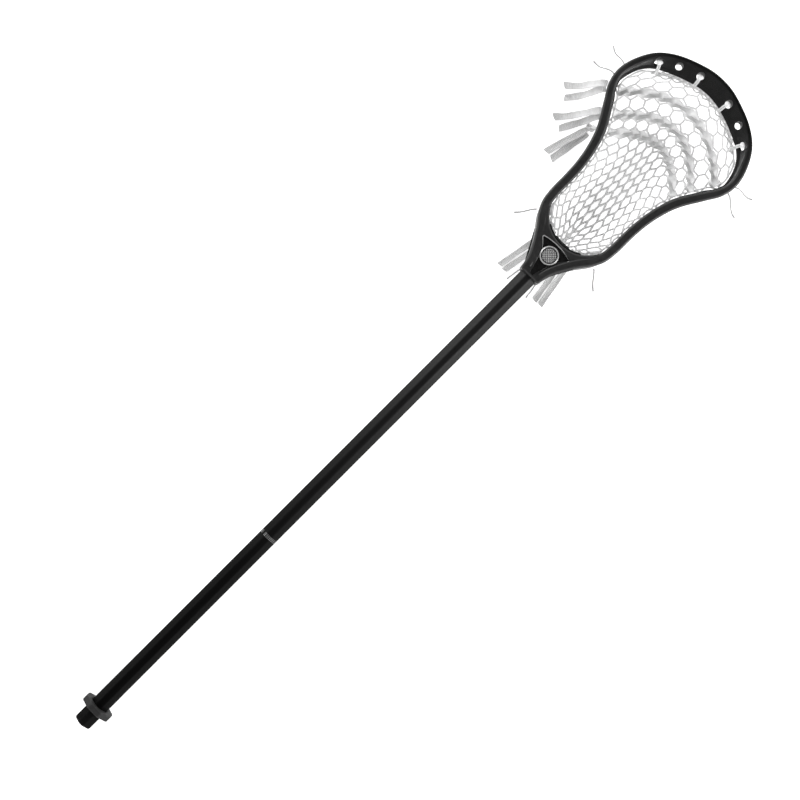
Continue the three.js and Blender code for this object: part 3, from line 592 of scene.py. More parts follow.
# Each tail has its real length and its route, from where it leaves the head or the pocket.
SHOOTING_TAILS = {
    "shooting_tail_1a": (65, [
        (440.5, 94, 36), (439, 97, 36), (436.5, 101, 33.5), (433, 105.5, 26.5), (429.5, 110.5, 17),
        (425.5, 115.5, 8), (421, 121, 3), (416, 127, 1.2), (411, 133.5, 1),
    ]),
    "shooting_tail_1b": (61, [
        (437, 91.5, 30.5), (434.5, 94, 29.5), (430, 98, 24), (425, 102, 14.5), (420, 106, 6),
        (414.5, 110.5, 2), (409.5, 114.5, 1.1), (404.5, 118.5, 1), (400, 122.2, 1),
    ]),
    "shooting_tail_2a": (67, [
        (415, 77, 31), (412.5, 79.5, 30.5), (408.5, 83.5, 26.5), (403, 89, 18), (397, 95, 8.5),
        (391, 100.5, 3), (385, 105.5, 1.2), (380, 110.5, 1), (375, 115.4, 1),
    ]),
    "shooting_tail_2b": (60, [
        (411, 73.5, 26.5), (408, 75.7, 25.5), (403.5, 79, 19), (398, 83, 10), (392, 87, 4),
        (386, 91, 1.6), (380, 94.5, 1), (374.5, 97.5, 1), (369, 100.4, 1),
    ]),
    "shooting_tail_3b": (55.8, [
        (391.4, 71.5, 1.5), (388, 71.8, 1.2), (380, 72.8, 1), (371, 74.5, 1), (362, 76, 1),
        (353, 77.5, 1), (344.5, 79, 1), (336.4, 80.4, 1),
    ]),
}
# The last lace tail leaves the pocket by a narrow neck and goes on beyond a knot.
KNOT_CENTRE = (397.3, 73.6, 5)
KNOT_NECK = [
    (394.4, 66.3, 27), (395, 68, 26.4), (396.2, 70.8, 22), (397, 72.6, 16), (397.2, 73.4, 10),
]
KNOTTED_TAIL = [
    (391.4, 75.5, 3.6), (388, 76.5, 3.2), (381, 78.5, 2.8), (373, 81, 2.8), (364, 84, 2.8),
    (355, 86.5, 2.8), (346, 89, 2.6), (338, 91, 1.8),
]
STRING_TAILS = {
    "side_tail_left_1": (55.5, [
        (468.5, 95, 41), (470, 97.3, 40.5), (472.5, 101, 36), (475.5, 105.3, 27),
        (478.5, 109.8, 16.5), (481.5, 114, 7.5), (484.5, 118.5, 2.2), (488, 123.4, 1),
    ]),
    "side_tail_left_2": (51, [
        (454, 97, 38), (454.4, 100, 37.3), (455, 104.5, 32), (455.7, 109.5, 22.5),
        (456.4, 114, 12), (457, 118.5, 4.5), (457.6, 123, 1.4), (458.1, 127.2, 1),
    ]),
    "side_tail_right_1": (52, [
        (459.5, -97, 39), (461, -99.4, 38.3), (463.5, -103.7, 33), (466.3, -108.6, 23),
        (469, -113.5, 12.5), (471.2, -117.8, 5), (473.2, -121.5, 1.5), (475.1, -125.2, 1),
    ]),
    "side_tail_right_2": (48.5, [
        (449.5, -97, 37), (449, -99.6, 36.3), (448.2, -103.8, 31), (447.3, -108.6, 21),
        (446.5, -113.5, 11), (445.8, -118, 4), (445, -121.8, 1.3), (444.4, -125.2, 1),
    ]),
    "side_tail_left_3": (36.5, [
        (279, 49.2, 25), (277.3, 51, 24.4), (274.5, 53.8, 20), (271.5, 56.7, 12.5),
        (268.3, 59.8, 5), (265, 63, 1.5), (261.5, 66.5, 1),
    ]),
    "side_tail_right_3": (36.6, [
        (277, -48.2, 25), (275.3, -50.2, 24.4), (272.5, -53.5, 20), (269.8, -56.9, 12.5),
        (267, -60.4, 5), (264.3, -64, 1.5), (261.5, -67.7, 1),
    ]),
}
# The throat's tails are alike on both sides, so only the left ones are listed.
OUTER_BOTTOM_TAIL = [
    (263, 23.5, 19.6), (260, 24, 18.6), (255, 25, 13.5), (249, 26, 7), (242, 27.3, 2.8),
    (233, 29, 1.3), (222, 31, 1), (212, 32.8, 1), (202.8, 34.5, 1),
]
INNER_BOTTOM_TAIL = [
    (263, 14.9, 19.4), (260, 15.4, 18.4), (255, 16.4, 13), (249, 17.4, 6.5), (242, 18.7, 2.4),
    (233, 20.4, 1.2), (222, 22.4, 1), (212, 24.2, 1), (202, 25.9, 1),
]
THROAT_STRING_TAIL = [
    (258, 6, 19.2), (255.5, 6.2, 18.4), (251, 6.8, 13), (245.5, 7.8, 6), (239, 9, 2.2),
    (229, 11, 1.1), (219, 12.9, 1), (209, 14.6, 1), (199, 16, 1),
]
ROUTE_POINTS = 36
SLANT = 0.35  # of a lace tail's cut end
SLANTED_RINGS = 5
KNOT_STEPS = 73
KNOT_SCALE = (1.0, 1.3, 1.7)
KNOT_CORE_RADIUS = 3.4
KNOT_CORE_REACH = 5.2
KNOT_CORE_STEPS = 13


def flat_lace_section(half_width, half_thickness=0.6, curl=0.7, steps=9):
    """A flat lace's section, thicker at its rolled edges and slightly curled along its middle."""
    across = np.linspace(-1, 1, steps)
    body = half_thickness * (0.8 + 0.35 * np.abs(across) ** 3)
    body[[0, -1]] *= 0.55
    middle = curl * (across**2 - 0.4)
    top = np.column_stack([across * half_width, middle + body])
    under = np.column_stack([across * half_width, middle - body])
    return np.vstack([under, top[::-1]])


def lace_tail(name, route, width, replaced, phase=0.0, widths=None):
    """A free lace: a flat ribbon that twists a little as it goes and is cut at a slant."""
    path = smooth_curve(route, ROUTE_POINTS)
    t = np.linspace(0, 1, ROUTE_POINTS)
    roll = 0.16 * np.sin(5 * t + phase) * np.minimum(1, 4 * t)
    taper = 1 - 0.1 * np.sin(7 * t + phase) ** 2
    if widths is not None:
        taper = np.interp(t, *zip(*widths))
    section = flat_lace_section(width / 2)
    piece = sweep(name, path, section, LACE, MODEL, roll=roll, widths=taper)
    slant_end(piece, path, len(section), width, SLANT if phase % 2 < 1 else -SLANT)
    subdivide(piece, 1)
    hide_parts(*replaced)


def slant_end(piece, path, count, width, slope):
    """Shears the last rings of a ribbon, so that its cut end runs at a slant."""
    forward = Vector(path[-1] - path[-2]).normalized()
    side = forward.cross(Vector((0, 0, 1))).normalized()
    end = Vector(path[-1] * MM)
    for ring in range(SLANTED_RINGS):
        share = 1 - ring / SLANTED_RINGS
        for corner in range(count):
            vertex = piece.data.vertices[(len(path) - 1 - ring) * count + corner]
            offset = (vertex.co - end).dot(side)
            vertex.co -= forward * (abs(slope) * width * MM / 2 - slope * offset) * share


def string_tail(name, route):
    path = smooth_curve(route, ROUTE_POINTS)
    radius = TAIL_STRING_DIAMETER / 2
    piece = twisted_cord(name + "_cord", path, radius, STRING_PITCH, MODEL, material=TAIL_STRING)
    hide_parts(name)


def mirrored(route, sign):
    return [(x, y * sign, z) for x, y, z in route]


def shooting_knot():
    """The overhand knot under the third shooting lace: flat lace wound in a tight trefoil."""
    turns = np.linspace(0, 2 * math.pi, KNOT_STEPS)
    centre = np.array(KNOT_CENTRE)
    x = np.sin(turns) + 2 * np.sin(2 * turns)
    y = np.cos(turns) - 2 * np.cos(2 * turns)
    z = -np.sin(3 * turns)
    path = np.column_stack([x, y, z]) * KNOT_SCALE + centre
    strands = sweep(
        "shooting_knot_strands", path, flat_lace_section(2.3, 0.9, 0.0), LACE, MODEL,
        roll=2 * turns,
    )
    ends = [centre + (0, reach, 0) for reach in (-KNOT_CORE_REACH, KNOT_CORE_REACH)]
    core = sweep(
        "shooting_knot_core", evenly(ends, KNOT_CORE_STEPS),
        round_section(KNOT_CORE_RADIUS, 14), LACE, MODEL,
        widths=np.sqrt(1.02 - np.linspace(-1, 1, KNOT_CORE_STEPS) ** 2),
    )
    piece = joined("shooting_knot_wound", [strands, core])
    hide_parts("shooting_knot")
    return piece


def free_tails():
    for number, (name, (length, route)) in enumerate(SHOOTING_TAILS.items()):
        lace_tail(name + "_lace", route, SHOOTING_TAIL_WIDTH, [name], phase=1.3 * number)
    knot = shooting_knot()
    lace_tail(
        "shooting_tail_3a_lace", [*KNOT_NECK, KNOT_CENTRE, *KNOTTED_TAIL],
        SHOOTING_TAIL_WIDTH, ["shooting_neck_3", "shooting_tail_3a"],
        phase=2.0,
        widths=[(0, 0.62), (0.2, 0.55), (0.3, 0.6), (0.42, 0.95), (1, 1)],
    )
    for name, (length, route) in STRING_TAILS.items():
        string_tail(name, route)
    for side, sign in (("left", 1), ("right", -1)):
        for where, route in (("outer", OUTER_BOTTOM_TAIL), ("inner", INNER_BOTTOM_TAIL)):
            name = f"bottom_tail_{side}_{where}"
            lace_tail(
                name + "_lace", mirrored(route, sign), BOTTOM_TAIL_WIDTH,
                [name], phase=0.5 * sign,
            )
        throat_route = mirrored(THROAT_STRING_TAIL, sign)
        string_tail(f"throat_tail_{side}", throat_route)


free_tails()


# ---- The head's lines, in the stick's frame ----
TIP_X = 311.5
SCOOP_LIP = 2.2
SCOOP_LEAN = 14.1
SCOOP_LOWER_Z = 8
SCOOP_THICKNESS = 4.6
SCOOP_FULL_X = 300
WALL_FULL_X = 262
TOP_RAIL_HEIGHT = 6
BOTTOM_RAIL_WIDTH = 9
BOTTOM_RAIL_HEIGHT = 5.5
RAIL_BEVEL = 1.8
WEB_INSET = 3.9
WEB_THICKNESS = 3.2
RAIL_INSET = 1  # of the bottom rail from the outline, where the web is upright
WEB_LEAN = 9  # how much further in the rail is where the outline faces the tip
WEB_TOP_DROP = TOP_RAIL_HEIGHT + 2
WEB_FOOT_RISE = 8

# Half of the outer edge of the top rail, from the throat to the tip.
OUTLINE = [
    (6, 15), (18, 18.5), (32, 25.5), (46, 34.3), (60, 44.5), (73, 51), (90, 53.5), (115, 53.9),
    (136, 55.4), (157, 59.5), (177.5, 66.6), (204.8, 82.7), (222, 92.8), (238.4, 96.3), (254, 93.8),
    (271.4, 85.8), (284.5, 74.7), (296.5, 56), (305.5, 33), (310.6, 12),
]
TOP_EDGE = height_curve([
    (0, 16.8), (18, 19.2), (45, 20), (78, 17.8), (120, 17.3), (165, 19.5), (211, 24), (252, 29.5),
    (282, 34.7), (TIP_X, 40.5),
])
BOTTOM_EDGE = height_curve([
    (0, -16.8), (30, -17.5), (60, -18.5), (95, -21), (130, -22), (170, -20.5), (205, -16.5),
    (240, -9.5), (270, -1), (TIP_X, 12),
])
TOP_RAIL_WIDTH = height_curve([
    (0, 10), (60, 11.2), (140, 11.3), (185, 10.8), (215, 9.6), (238, 8.8), (300, 8.8),
])

HOOP_STEPS = 1600
BISECTIONS = 40
hoop_line = smooth_curve([(x, -y) for x, y in OUTLINE] + OUTLINE[::-1], HOOP_STEPS + 1)
hoop_inward = unit(np.gradient(hoop_line, axis=0))[:, ::-1] * (-1, 1)


class Station:
    """The place, inward direction and heights of the hoop at a fraction of the way round it."""

    def __init__(self, fraction):
        i = min(HOOP_STEPS - 1, int(fraction * HOOP_STEPS))
        t = fraction * HOOP_STEPS - i
        self.place = hoop_line[i] * (1 - t) + hoop_line[i + 1] * t
        self.inward = unit(hoop_inward[i] * (1 - t) + hoop_inward[i + 1] * t)
        self.x = self.place[0]
        self.top = TOP_EDGE(self.x)
        self.bottom = BOTTOM_EDGE(self.x)
        self.web_top = self.top - WEB_TOP_DROP
        self.web_foot = self.bottom + WEB_FOOT_RISE
        self.lean = RAIL_INSET + WEB_LEAN * max(0, self.inward[0])
        self.along = np.array([-self.inward[1], self.inward[0], 0])

    def point(self, inwards, z):
        return np.array([*(self.place + self.inward * inwards), z])

    def web_shift(self, z):
        """How much further in the leaning web is at a height than at its top."""
        share = (self.web_top - z) / (self.web_top - self.web_foot)
        return (self.lean - RAIL_INSET) * np.clip(share, 0, 1)


def find_station(a, b, past):
    """The station at which the test past turns true, between two fractions."""
    for _ in range(BISECTIONS):
        middle = (a + b) / 2
        if past(Station(middle)):
            b = middle
        else:
            a = middle
    return Station((a + b) / 2)


def side_station(x, inset=0.0, side=1):
    """The station of one sidewall whose point at an inset from the outline is at x."""

    def past(here):
        return here.x + here.inward[0] * (here.lean + inset) < x

    return find_station(0.5, 1.0 if side > 0 else 0.0, past)


def scoop_station(y):
    return find_station(0.3, 0.7, lambda here: here.place[1] > y)


def wall_section(here):
    """The sidewall's section as (distance inwards, height), from the outer top edge inwards."""
    top, bottom, lean = here.top, here.bottom, here.lean
    width = TOP_RAIL_WIDTH(here.x)
    web_in = WEB_INSET + WEB_THICKNESS
    rail_in = lean + BOTTOM_RAIL_WIDTH
    rail_top = bottom + BOTTOM_RAIL_HEIGHT
    return np.array([
        (0, top - RAIL_BEVEL), (RAIL_BEVEL, top),
        (width - RAIL_BEVEL, top), (width, top - RAIL_BEVEL), (width, top - TOP_RAIL_HEIGHT),
        (web_in, here.web_top), (web_in + lean - RAIL_INSET, here.web_foot),
        (rail_in, rail_top), (rail_in, bottom + RAIL_BEVEL), (rail_in - RAIL_BEVEL, bottom),
        (lean + RAIL_BEVEL, bottom), (lean, bottom + RAIL_BEVEL), (lean, rail_top),
        (WEB_INSET + lean - RAIL_INSET, here.web_foot), (WEB_INSET, here.web_top),
        (0, top - TOP_RAIL_HEIGHT),
    ])


# The scoop is a plate that leans inwards as it goes down. Its corners are given as shares
# (along it, across it), and there are as many as the sidewall's section has.
SCOOP_CORNERS = [
    (0.05, 0), (0, 0.3), (0, 0.8), (0.05, 1), (0.2, 1), (0.35, 1), (0.7, 1), (0.82, 1), (0.94, 1),
    (1, 0.75), (1, 0.25), (0.94, 0), (0.82, 0), (0.7, 0), (0.35, 0), (0.2, 0),
]


def scoop_point(here, along, across):
    drop = here.top - SCOOP_LOWER_Z
    slant = math.hypot(drop, SCOOP_LEAN)
    inwards = along * SCOOP_LEAN - SCOOP_LIP + across * SCOOP_THICKNESS * drop / slant
    return inwards, here.top - along * drop + across * SCOOP_THICKNESS * SCOOP_LEAN / slant


def rounded(corners, radius, steps=4):
    """A closed outline with each corner rounded."""
    corners = np.asarray(corners, float)
    points = []
    t = np.linspace(0, 1, steps)[:, None]
    neighbours = zip(np.roll(corners, 1, axis=0), corners, np.roll(corners, -1, axis=0))
    for before, corner, after in neighbours:
        ends = []
        for other in (before, after):
            step = other - corner
            distance = np.linalg.norm(step)
            ends.append(corner + step * min(radius, 0.46 * distance) / distance)
        points.append(ends[0] * (1 - t) ** 2 + corner * 2 * t * (1 - t) + ends[1] * t**2)
    return np.vstack(points)


def offset_outline(points, inset):
    """A closed outline in the X-Y plane, moved inwards all round. It runs anticlockwise."""
    before = unit(points - np.roll(points, 1, axis=0))
    after = unit(np.roll(points, -1, axis=0) - points)
    left = np.column_stack([-before[:, 1], before[:, 0]])
    right = np.column_stack([-after[:, 1], after[:, 0]])
    share = 1 + np.einsum("ij,ij->i", left, right)
    return points + inset * (left + right) / np.maximum(share, 0.5)[:, None]


# How far a rounded edge is set back, at each depth below it, as shares of its radius.
ROUND_EDGE = [(math.cos(a), 1 - math.sin(a)) for a in np.linspace(0, math.pi / 2, 6)]


# ---- Head frame ----
HOOP_STATIONS = 440
HOOP_ROUNDING = 1.1
THROAT_BOTTOM_Z = -17.5
THROAT_EDGE_RADIUS = 2.4
MOUTH_LENGTH = 9  # of the part behind the socket's mouth that gets thinner
MOUTH_DROP = 1.6
BALL_STOP_CENTRE_X = 95.2
BALL_STOP_RADIUS = 43.7
BALL_STOP_END_X = 76
GAP = 0.35
SOCKET_DEPTH = 49
RECESS_FLOOR_Z = 16.4
BADGE_X = 32.8
BADGE_RADIUS = 11.3
SCREW_X = 15
SCREW_RADIUS = 2
SCREW_HEAD_RADIUS = 3.6
SCREW_SEAT_DEPTH = 2
WINDOW_DROP = TOP_RAIL_HEIGHT + 3.5
WINDOW_RISE = 9.5
WINDOW_CORNER_RADIUS = 4.2
# X of each window's two ends, and how much nearer the scoop they are at its top.
WINDOWS = [(84, 104, 4), (114, 134, 4), (144, 163, 4), (173, 190, 4), (199, 212, 4)]
STRING_HOLES_X = [80, 97, 114, 131, 148, 165, 182, 199, 216, 232]
STRING_HOLE_RADIUS = 1.9
STRING_HOLE_HEIGHT = 3.4
SCOOP_HOLES_Y = [-73.8, -51.3, -24.9, 24.9, 51.3, 73.8]
SCOOP_HOLE_INSET = 7.9
SCOOP_HOLE_RADII = (2.9, 4.5)  # inwards and along the scoop
TOP_KNOTS_Y = [-73.8, -24.9, 24.9, 73.8]
KNOT_ALONG = 0.3
FLARE = [(0.75, 0.0), (0.42, 0.12), (0.16, 0.4), (0.0, 0.8)]  # a hole's widening at each depth
OVERSHOOT = 4  # of a hole's tool beyond both surfaces


def hoop():
    rings = []
    for i in range(HOOP_STATIONS + 1):
        here = Station(i / HOOP_STATIONS)
        wall = wall_section(here)
        scoop = np.array([scoop_point(here, *corner) for corner in SCOOP_CORNERS])
        share = smoothstep((SCOOP_FULL_X - here.x) / (SCOOP_FULL_X - WALL_FULL_X))
        section = rounded(scoop + (wall - scoop) * share, HOOP_ROUNDING)
        rings.append([here.point(*corner) for corner in section])
    piece = new_object("hoop", *bridge(rings), HEAD_MATERIALS, body=None)
    face_outwards(piece)
    return piece


def throat_outline():
    """The throat from above: a rounded collar, flared sides and the ball stop's arc."""
    collar = [(0, 11.9), (0.9, 13.1), (2.6, 14.2), (6, 15), (12, 15.8), (18, 17.4)]
    side = collar + [(x, y - 1) for x, y in OUTLINE if 18 < x < 74]
    spread = math.acos((BALL_STOP_CENTRE_X - BALL_STOP_END_X) / BALL_STOP_RADIUS)
    angles = np.linspace(math.pi + spread, math.pi - spread, 41)
    stop = np.column_stack([np.cos(angles), np.sin(angles)]) * BALL_STOP_RADIUS
    stop += (BALL_STOP_CENTRE_X, 0)
    right = smooth_curve([(x, -y) for x, y in side], 60)
    left = right[::-1] * (1, -1)
    return np.vstack([right, stop, left])


def throat():
    outline = throat_outline()
    mouth_drop = MOUTH_DROP * smoothstep(1 - outline[:, 0] / MOUTH_LENGTH)
    rings = []
    for inset, depth in ROUND_EDGE[::-1]:
        ring = offset_outline(outline, THROAT_EDGE_RADIUS * (1 - inset))
        bottom = THROAT_BOTTOM_Z + mouth_drop
        rings.append(np.column_stack([ring, bottom + THROAT_EDGE_RADIUS * depth]))
    for inset, depth in ROUND_EDGE:
        ring = offset_outline(outline, THROAT_EDGE_RADIUS * (1 - inset))
        top = TOP_EDGE(ring[:, 0]) + 0.15
        rings.append(np.column_stack([ring, top - mouth_drop * 0.4 - THROAT_EDGE_RADIUS * depth]))
    # A last ring inside each edge keeps the rounding's shading off the flat faces.
    for index, ring in ((0, rings[0]), (len(rings) + 1, rings[-1])):
        inner = offset_outline(ring[:, :2], 0.8)
        rings.insert(index, np.column_stack([inner, ring[:, 2]]))
    piece = new_object("throat", *bridge(rings), [HEAD_PLASTIC], body=None)
    face_outwards(piece)
    return piece


def tool(name, rings, indices=None):
    """A cutting tool from rings of points, with a material index for each gap between rings."""
    piece = new_object(name, *bridge(rings), HEAD_MATERIALS, body=None)
    if indices:
        caps = {len(indices) * len(rings[0]): indices[0]}
        for polygon in piece.data.polygons:
            band = min(polygon.index // len(rings[0]), len(indices) - 1)
            polygon.material_index = caps.get(polygon.index, indices[band])
    face_outwards(piece)
    return piece


def flared(surfaces):
    """(depth, widening) pairs that take a hole through a wall from one surface to the other."""
    near, far = surfaces
    widest = FLARE[0][0]
    into = [(near + depth, wide) for wide, depth in FLARE]
    out = [(far - depth, wide) for wide, depth in reversed(FLARE)]
    return [(near - OVERSHOOT, widest), *into, *out, (far + OVERSHOOT, widest)]


def window_tool(low, high, slant, side):
    """A slanted opening through the sidewall's web, with softened edges on both of its faces."""
    middle = (low + high) / 2
    top = TOP_EDGE(middle) - WINDOW_DROP
    bottom = BOTTOM_EDGE(middle) + WINDOW_RISE
    corners = np.array([(low, bottom), (high, bottom), (high + slant, top), (low + slant, top)])
    outline = rounded(corners, WINDOW_CORNER_RADIUS, 9)
    rings = []
    for depth, wide in flared((WEB_INSET, WEB_INSET + WEB_THICKNESS)):
        ring = []
        for x, z in offset_outline(outline, -wide):
            here = side_station(x, 0, side)
            ring.append(here.point(depth + here.web_shift(z), z))
        rings.append(ring)
    return tool("window", rings)


def string_hole_tool(x, side):
    here = side_station(x, BOTTOM_RAIL_WIDTH / 2, side)
    height = here.bottom + STRING_HOLE_HEIGHT
    rings = []
    for depth, wide in flared((here.lean, here.lean + BOTTOM_RAIL_WIDTH)):
        circle = round_section(STRING_HOLE_RADIUS + wide * 0.7, 20)
        rings.append([here.point(depth, height + z) + here.along * s for s, z in circle])
    return tool("string_hole", rings)


def scoop_hole_tool(y):
    """An upright oval hole, whose edges widen where it leaves the sloping plate."""
    here = scoop_station(y)
    rings = []
    for z, wide in ((10, 0.3), (18, 0), (30, 0), (37, 0.5), (60, 3)):
        oval = round_section(1, 32) * (np.array(SCOOP_HOLE_RADII) + wide)
        rings.append([here.point(SCOOP_HOLE_INSET + a, z) + here.along * b for a, b in oval])
    return tool("scoop_hole", rings)


SHAFT_HALF_WIDTH = 11.15
SHAFT_HALF_HEIGHT = 12.4
SHAFT_TOP_HALF_FLAT = 3.25
SHAFT_SIDE_HALF_FLAT = 4.5


def shaft_outline(grow, radius=1.6):
    """The shaft's octagon as (y, z), with every flat moved out by grow and rounded corners."""
    width, height = SHAFT_HALF_WIDTH + grow, SHAFT_HALF_HEIGHT + grow
    corner = grow * math.tan(math.pi / 8)
    top, side = SHAFT_TOP_HALF_FLAT + corner, SHAFT_SIDE_HALF_FLAT + corner
    corners = [
        (width, side), (top, height), (-top, height), (-width, side), (-width, -side),
        (-top, -height), (top, -height), (width, -side),
    ]
    return rounded(corners, radius, 5)


def along_x(section, x):
    return np.column_stack([np.full(len(section), float(x)), section])


def at_height(section, z):
    return np.column_stack([section, np.full(len(section), float(z))])


def socket_tool():
    rings = [along_x(shaft_outline(GAP + wide), x) for x, wide in (
        (-6, 1.3), (-0.2, 1.3), (0.5, 0.75), (1.2, 0.25), (2.2, 0), (SOCKET_DEPTH + GAP, 0),
    )]
    # The socket's deep end gets index 1, the painted shade of recesses.
    return tool("socket", rings, [0, 0, 0, 0, 1])


def recess_tool():
    """The sunk panel on top of the throat: a wedge that opens into two wings round the badge."""
    half = np.array([
        (3, 2.4), (19.4, 7), (30, 9.7), (35.5, 13), (44.5, 21.5), (46.4, 14), (47.4, 5),
    ])
    outline = np.vstack([half[::-1], half * (1, -1)])
    outline = rounded(outline, 2.2, 6)
    if np.cross(outline[1] - outline[0], outline[2] - outline[1]) < 0:
        outline = outline[::-1]
    rings = [at_height(offset_outline(outline, inset), z) for z, inset in (
        (RECESS_FLOOR_Z, 0.5), (RECESS_FLOOR_Z + 0.5, 0.1), (18.4, 0), (19.5, -0.55),
        (20.2, -1.0), (24, -1.0),
    )]
    # Its floor and lower walls get index 1, the painted shade of recesses, and its chamfered rim
    # index 2, a painted highlight.
    return tool("recess", rings, [1, 1, 2, 2, 2])


# A round hole's walls get index 1, the painted shade of recesses, unless another index is given.
def round_tool(name, centre, radius, low, high, index=1):
    circle = round_section(radius, 48) + centre
    return tool(name, [at_height(circle, z) for z in (low, high)], [index])


def head_frame():
    body = hoop()
    combine(body, [throat()], "UNION")
    tools = [window_tool(*window, side) for window in WINDOWS for side in (1, -1)]
    tools += [string_hole_tool(x, side) for x in STRING_HOLES_X for side in (1, -1)]
    tools += [scoop_hole_tool(y) for y in SCOOP_HOLES_Y]
    tools += [socket_tool(), recess_tool()]
    below = THROAT_BOTTOM_Z - 4.5
    seat = THROAT_BOTTOM_Z + SCREW_SEAT_DEPTH
    tools += [
        round_tool("badge_seat", (BADGE_X, 0), BADGE_RADIUS + GAP, RECESS_FLOOR_Z, 25),
        round_tool("screw_hole", (SCREW_X, 0), SCREW_RADIUS + GAP, below, -8),
        round_tool("screw_seat", (SCREW_X, 0), SCREW_HEAD_RADIUS + GAP, below, seat),
    ]
    combine(body, tools)
    body.name = "head_moulding"
    body.data.name = "head_moulding"
    crisp(body)
    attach(body, "stick")
    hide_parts("head_frame")


head_frame()


# ---- Pocket ----
# The net hangs between the rails. A place on it is (u, v): u runs from the ball stop (0) to
# the scoop (1), and v from the right rail (-1) to the left one (1). Its holes are in rows,
# counted from the scoop, and in columns, counted from the middle. Every other row is set
# over by half a column.
POCKET_BOTTOM_X = 56
POCKET_SPAN = 241
NET_INSET = 11.5
NET_EDGE_HEIGHT = 4  # over the rail's bottom
NET_THICKNESS = 2.0
POCKET_CLEARANCE = 1.2  # from the floor to the net's middle
POCKET_DEPTH = height_curve([
    (56, -13), (66, -21), (85, -32), (115, -41), (150, -45.5), (190, -44.5), (230, -37),
    (262, -24.5), (285, -7), (297, 7),
])
# How much nearer the throat a row is by the rails, for each u that it has in the middle.
ROW_SAG = height_curve([
    (0, -25), (0.21, -2), (0.34, 7), (0.47, 13), (0.65, 32), (0.76, 43), (0.86, 45), (0.95, 42),
    (1, 35),
])
ROW_U = height_curve(list(enumerate([
    0.983, 0.946, 0.905, 0.858, 0.807, 0.758, 0.706, 0.648, 0.588, 0.528, 0.464, 0.404, 0.338,
    0.273, 0.21, 0.139, 0.09, 0.045, 0.01,
])))
LAST_ROW = 18
ROW_STEP_ABOVE = 0.049  # in u, for the part of the net above its first row of holes
ROW_STEP_BELOW = 0.02  # in u, below its last row
# How wide each row's middle columns are, as a share of an even spacing.
MIDDLE_WIDTH = height_curve([
    (0, 1.16), (2, 1.14), (3, 1.09), (5, 1.04), (7, 0.86), (9, 0.84), (12, 0.94), (18, 0.9),
])
HALF_COLUMNS = 5
LACED_ROWS = (2, 4, 6)


def edge_sag(u):
    """How much nearer the throat a place with this u is by the rails than in the middle."""
    return -25 + 141 * u - 81 * u * u


def pocket_edge():
    """Where the net meets the left rail, at evenly spaced u."""
    places = []
    for u in np.linspace(0, 1, 49):
        here = side_station(POCKET_BOTTOM_X + POCKET_SPAN * u - edge_sag(u), NET_INSET)
        x, y = here.place + here.inward * (here.lean + NET_INSET)
        places.append((u, x, y, BOTTOM_EDGE(x) + NET_EDGE_HEIGHT))
    return np.array(places)


EDGE_PLACES = pocket_edge()


def floor_height(x):
    """Height of the floor in the stick's frame, under a point of its X axis."""
    return -(ORIGIN.z / MM + x * ALONG.z) / UP.z


def pocket_point(u, v):
    u, v = np.broadcast_arrays(np.asarray(u, float), np.asarray(v, float))
    known_u, *known = EDGE_PLACES.T
    edge_x, edge_y, edge_z = (np.interp(u, known_u, column) for column in known)
    middle_x = POCKET_BOTTOM_X + POCKET_SPAN * u
    middle_z = POCKET_DEPTH(middle_x)
    edge_z = edge_z + (SCOOP_LOWER_Z - 1 - edge_z) * smoothstep((u - 0.86) / 0.14)
    x = middle_x + (edge_x - middle_x) * v * v
    z = middle_z + (edge_z - middle_z) * np.abs(v) ** 2.4
    lowest_z = floor_height(x) + POCKET_CLEARANCE
    return np.stack([x, edge_y * v, np.maximum(z, lowest_z)], axis=-1)


def net_place(row, column):
    """(u, v) of a place in rows and columns.

    The net is spread near the rails and gathered at the ball stop.
    """
    row = np.asarray(row, float)
    share = np.abs(np.asarray(column, float)) / HALF_COLUMNS
    middle = MIDDLE_WIDTH(row)
    spread = middle * share + (1 - middle) * share**3
    gathered = share ** (1 + 1.2 * smoothstep((row - 13.5) / 5))
    across = spread + (gathered - spread) * smoothstep((row - 12) / 4)
    above, below = np.minimum(row, 0), np.maximum(row - LAST_ROW, 0)
    u = ROW_U(row) - above * ROW_STEP_ABOVE - below * ROW_STEP_BELOW
    v = across * np.sign(column)
    return np.clip(u - (ROW_SAG(u) - edge_sag(u)) * v * v / POCKET_SPAN, 0, 1), v


def net_point(row, column, lift):
    u, v = net_place(row, column)
    return pocket_point(u, v) + pocket_normal(u, v) * lift


def pocket_normal(u, v):
    """The unit normal on the ball's side of the net."""
    step = 0.004
    along = pocket_point(np.minimum(1, u + step), v) - pocket_point(np.maximum(0, u - step), v)
    across = pocket_point(u, np.minimum(1, v + step)) - pocket_point(u, np.maximum(-1, v - step))
    return unit(np.cross(along, across))


STRAND_HALF_WIDTH = 2.0


